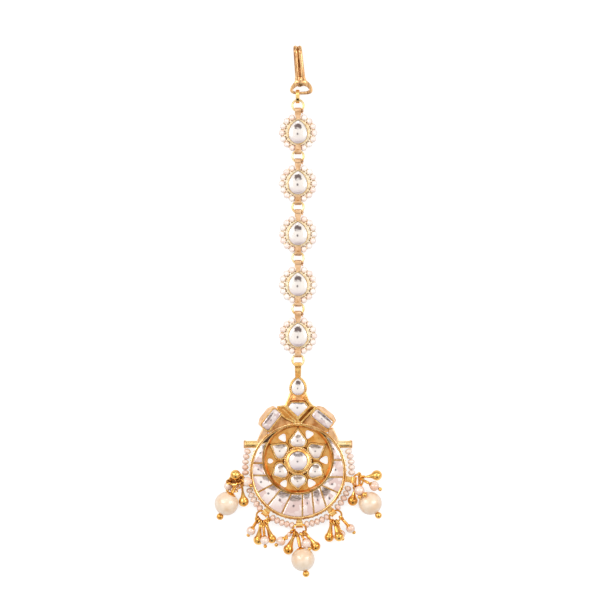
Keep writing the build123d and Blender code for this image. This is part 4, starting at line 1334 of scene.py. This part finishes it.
# %% Where a drop hangs
def hung(cluster, spot, place):
    """A drop's eye on its jump ring: its middle, its axis, the way to the bead, and where the neck starts."""
    middle, normal, radius = rings[cluster]
    flat_x = (Vector((1, 0, 0)) - normal * normal.x).normalized()
    flat_y = normal.cross(flat_x)
    turn = math.radians(place)
    held = middle + (flat_x * math.cos(turn) + flat_y * math.sin(turn)) * radius
    tangent = flat_y * math.cos(turn) - flat_x * math.sin(turn)
    way = (spot - held).normalized()
    axis = (tangent - way * tangent.dot(way)).normalized()
    eye = held + way * 0.105
    return eye, axis, way, eye + way * (EYE_RADIUS - 0.05)


print("an eye on the left ring is at", [round(value, 1) for value in hung("left", Vector((-18, -9, 2)), 270)[0]])


# %% Gold drops
def gold_drop(reach, size, neck):
    """Neck and ball in one profile, from the neck's start at z 0 to the ball's middle at z reach."""
    half = size / 2
    flare = [(0, 0), (neck - 0.06, 0.02), (neck, 0.15), (neck, max(0.2, reach - half * 2.3)),
             (neck + 0.2, max(0.3, reach - half * 1.6)), (half * (0.3 + 0.6 * neck), reach - half * 1.03)]
    return turned(flare + [(x, reach + y) for x, y in arc((0, 0), half, -46, 89.5, 18)] + [(0, reach + half)], 32)


print("a gold drop has", len(gold_drop(4, 3, 0.5).polygons), "faces")


# %% Pearl pins
def pin(reach, size, kind):
    """Wire, wraps, cap and end bead of a pearl's pin."""
    shape = bmesh.new()
    half = size / 2
    cap_radius, bead = (size * 0.2, size * 0.3) if kind == "big" else (size * 0.27, size * 0.42)
    far = reach + half
    put(shape, turned([(0, 0), (0.2, 0), (0.2, far + bead / 2), (0, far + bead / 2)], 12))
    wrap = wire_ring(0.44, 0.32, 16, 6) if kind == "big" else wire_ring(0.34, 0.26, 16, 6)
    turns = max(1, int((reach - half - 0.3) / 0.22))
    put(shape, wrap, *[at(0, 0, 0.08 + 0.22 * k) @ Matrix.Rotation(0.15, 4, "X") for k in range(turns)])
    foot = reach - math.sqrt(half**2 - cap_radius**2)
    top = reach - half - 0.3
    cap = [(0.2, top), (0.36, top + 0.02), (cap_radius * 0.75, (top + foot) / 2), (cap_radius * 1.04, foot),
           (cap_radius * 0.9, foot + 0.06)]
    put(shape, turned(cap, 20, closed=True))
    put(shape, ball(bead, 14), at(0, 0, far + bead * 0.42))
    return as_part(shape)


print("a pin has", len(pin(4, 3, "pearl").polygons), "faces")


# %% Drilled pearls
def drilled_pearl(size, steps=40):
    """A pearl with a hole through it along Z."""
    half = size / 2
    first = math.degrees(math.acos(0.3 / half))
    return turned(arc((0, 0), half, -first, first, steps // 2), steps, closed=True)


print("a small pearl has", len(drilled_pearl(2.8).polygons), "faces")


# %% All the drops
eye_ring = wire_ring(EYE_RADIUS, 0.56, 20, 8)
neck_wrap = wire_ring(0.46, 0.3, 18, 6)
drops_gold = bmesh.new()
pins = bmesh.new()
small = bmesh.new()
for cluster, kind, x, y, z, size, place in DROPS:
    spot = Vector((x, y, z))
    eye, axis, way, start = hung(cluster, spot, place)
    reach = (spot - start).length
    metal = drops_gold if kind == "gold" else pins
    put(metal, eye_ring, facing(eye, axis))
    if kind == "gold":
        put(metal, gold_drop(reach, size, NECKS.get(cluster, 0.5)), facing(start, way))
        if cluster not in NECKS:
            put(metal, neck_wrap, *[facing(start + way * along, way) for along in (0.15, 0.42)])
        continue
    put(metal, pin(reach, size, kind), facing(start, way))
    if kind == "big":
        shape = bmesh.new()
        put(shape, drilled_pearl(size, 64), facing(spot, way))
        finish_piece(f"big_pearl_{cluster}_bead", shape, cream_pearl, f"big_pearl_{cluster}")
    else:
        put(small, drilled_pearl(size), facing(spot, way))
print("pins so far:", len(pins.faces), "faces")


# %% Spare beads and eyes
# a bead pushed forward by the pearl behind it, and a spare seed caught on the bottom cluster's long pin
put(pins, ball(1.6, 16), at(19.9, -9.95, 6.25))
put(pins, ball(1.0, 12), at(-3.45, -23.15, 2.6))
put(small, seed_part(1.5), at(-2.6, -22.0, 2.4))
# eyes of wire that lost their drops
for cluster, places in (("lower_left", (204, 236, 268, 306, 338)), ("bottom", (236, 306)), ("lower_right", (245, 290))):
    middle = rings[cluster][0]
    for place in places:
        eye, axis, way, start = hung(cluster, middle * 1.25, place)
        put(pins, eye_ring, facing(eye, axis))
print("pins with the spare eyes:", len(pins.faces), "faces")


# %% Cap in the left ring
# a dark cap, painted shade inside the left ring, and spare turns of wire pushed up under it
tangle = bmesh.new()
cap = turned([(0, -0.5), (1.2, -0.4), (1.98, -0.08), (2.04, 0.04), (1.9, 0.06), (1.1, -0.25), (0, -0.35)], 36)
put(tangle, cap, facing(rings["left"][0], rings["left"][1]))
COILS = [
    # (spot, lean of the axis)
    ((-18.2, -5.4, 3.3), (0.3, 0.5, 0.8)),
    ((-19.2, -8.3, 2.9), (0.8, 0.2, 0.5)),
    ((-18.2, -8.1, 2.6), (-0.5, 0.7, 0.5)),
    ((-17.6, -7.7, 2.2), (0.2, -0.6, 0.7)),
    ((-19.9, -8.2, 2.3), (-0.7, 0.3, 0.6)),
    ((-18.8, -9.0, 2.1), (0.1, 0.9, 0.4)),
]
put(pins, wire_ring(0.7, 0.4, 18, 6), *[facing(spot, lean) for spot, lean in COILS])
finish_piece("left_ring_cap", tangle, seam_gold, "pearl_pins")
finish_piece("gold_drop_balls", drops_gold, bright_gold, "gold_drops", sharp=50)
finish_piece("pearl_pin_wires", pins, bright_gold, "pearl_pins")
finish_piece("small_pearl_beads", small, small_pearl, "small_pearls")


# %% [markdown]
# ## The hook and its link
#
# The hook is one wire, doubled, bent over at the top, and pressed flat into a neck above its eye. The two
# wires and the pressed web are one surface on the real thing, so a copy of the solid is joined to a flat
# blob at the neck and remeshed as one skin, then smoothed.

# %% Outlines of the hook's eye
EYE_OUTSIDE = [
    (-0.2, 114.9), (-0.75, 113.95), (-1.5, 113.0), (-2.15, 112.1), (-2.5, 111.1), (-2.1, 110.25), (-1.0, 109.85),
    (1.0, 109.75), (3.0, 109.8), (4.1, 110.2), (4.45, 110.95), (4.2, 112.1), (3.6, 113.1), (2.6, 113.9), (1.7, 114.9),
]
EYE_OPENING = [
    (-1.65, 111.05), (-0.9, 111.85), (-0.2, 112.3), (0.2, 112.05), (0.55, 111.95), (0.95, 112.15), (1.7, 112.45),
    (2.8, 112.0), (3.45, 111.15), (2.6, 110.75), (1.0, 110.6), (-0.9, 110.65),
]
print("the eye is", round(max(x for x, y in EYE_OUTSIDE) - min(x for x, y in EYE_OUTSIDE), 1), "mm wide")


# %% Doubled wire
wire = bmesh.new()
wire.from_mesh(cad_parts["hook"].data)
bmesh.ops.scale(wire, verts=wire.verts, vec=(1 / MM,) * 3)
bmesh.ops.remove_doubles(wire, verts=wire.verts, dist=0.001)
for point in wire.verts:
    # the doubled wire is pressed a little wider towards its eye
    down = min(max((134 - point.co.y) / 19, 0), 1)
    axis = 0.75 - 0.052 * (point.co.y - 115)
    point.co.x = axis + (point.co.x - axis) * (1 + 0.2 * down)
cut = bmesh.ops.bisect_plane(wire, geom=wire.verts[:] + wire.edges[:] + wire.faces[:], plane_co=(0, 114.3, 0),
                             plane_no=(0, -1, 0), clear_outer=True)["geom_cut"]
bmesh.ops.holes_fill(wire, edges=[item for item in cut if isinstance(item, bmesh.types.BMEdge)])
print("cut through", sum(isinstance(item, bmesh.types.BMEdge) for item in cut), "edges")


# %% Hook
shape = bmesh.new()
put(shape, as_part(wire))
put(shape, plate([rounded(EYE_OUTSIDE, 0.3, 2), rounded(EYE_OPENING, 0.15, 2)], 1.15, 2.15))
blob = bmesh.new()
bmesh.ops.create_uvsphere(blob, u_segments=32, v_segments=18, radius=1)
bmesh.ops.scale(blob, verts=blob.verts, vec=(1.75, 1.35, 0.8))
put(shape, as_part(blob), at(0.75, 113.6, 1.8))
hook = finish_piece("hook_wire", shape, drawn_gold, "hook", sharp=80)
skin = hook.modifiers.new("one_skin", "REMESH")
skin.mode = "VOXEL"
skin.voxel_size = 0.1 * MM
skin.use_smooth_shade = True
soft = hook.modifiers.new("rubbed_smooth", "SMOOTH")
soft.factor = 0.5
soft.iterations = 24


# %% Gap and crease of the hook
# painted shade: a dark cone in the deep gap between the two wires, and a dark strip in the crease where their ends meet
# the eye
shape = bmesh.new()
low_end, high_end = Vector((0.42, 117.4, 2.62)), Vector((-0.13, 124.0, 3.62))
gap_line = bmesh.new()
bmesh.ops.create_cone(gap_line, segments=10, radius1=0.06, radius2=0.2, depth=(high_end - low_end).length,
                      cap_ends=True)
put(shape, as_part(gap_line), facing((low_end + high_end) / 2, high_end - low_end))
put(shape, strip([(-0.42, 114.95), (0.1, 115.1), (0.9, 115.12), (1.75, 114.8)], 0.1, 2.0, 2.56))
finish_piece("hook_creases", shape, seam_gold, "hook")


# %% Hook link
low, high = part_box("hook_link")
size = (high - low) / MM
oval = [(size.y / 2 * math.cos(turn), size.z / 2 * math.sin(turn)) for turn in
        [math.tau * k / 48 for k in range(48)]]
band = bezel(oval, 0.55, -size.x * 0.6, size.x * 0.6)
shape = shape_of(band, Matrix.Translation(middle_of("hook_link")) @ LYING)
finish_piece("hook_link_strip", shape, gold_plate, "hook_link", soft_edge=0.15)


# %% [markdown]
# ## Done
#
# The jewel's box is measured before and after, so that the visible pieces can be checked against the
# solids they stand for.

# %% Sizes
low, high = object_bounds()
print("visual box, mm:", [round(side / MM, 2) for side in high - low])
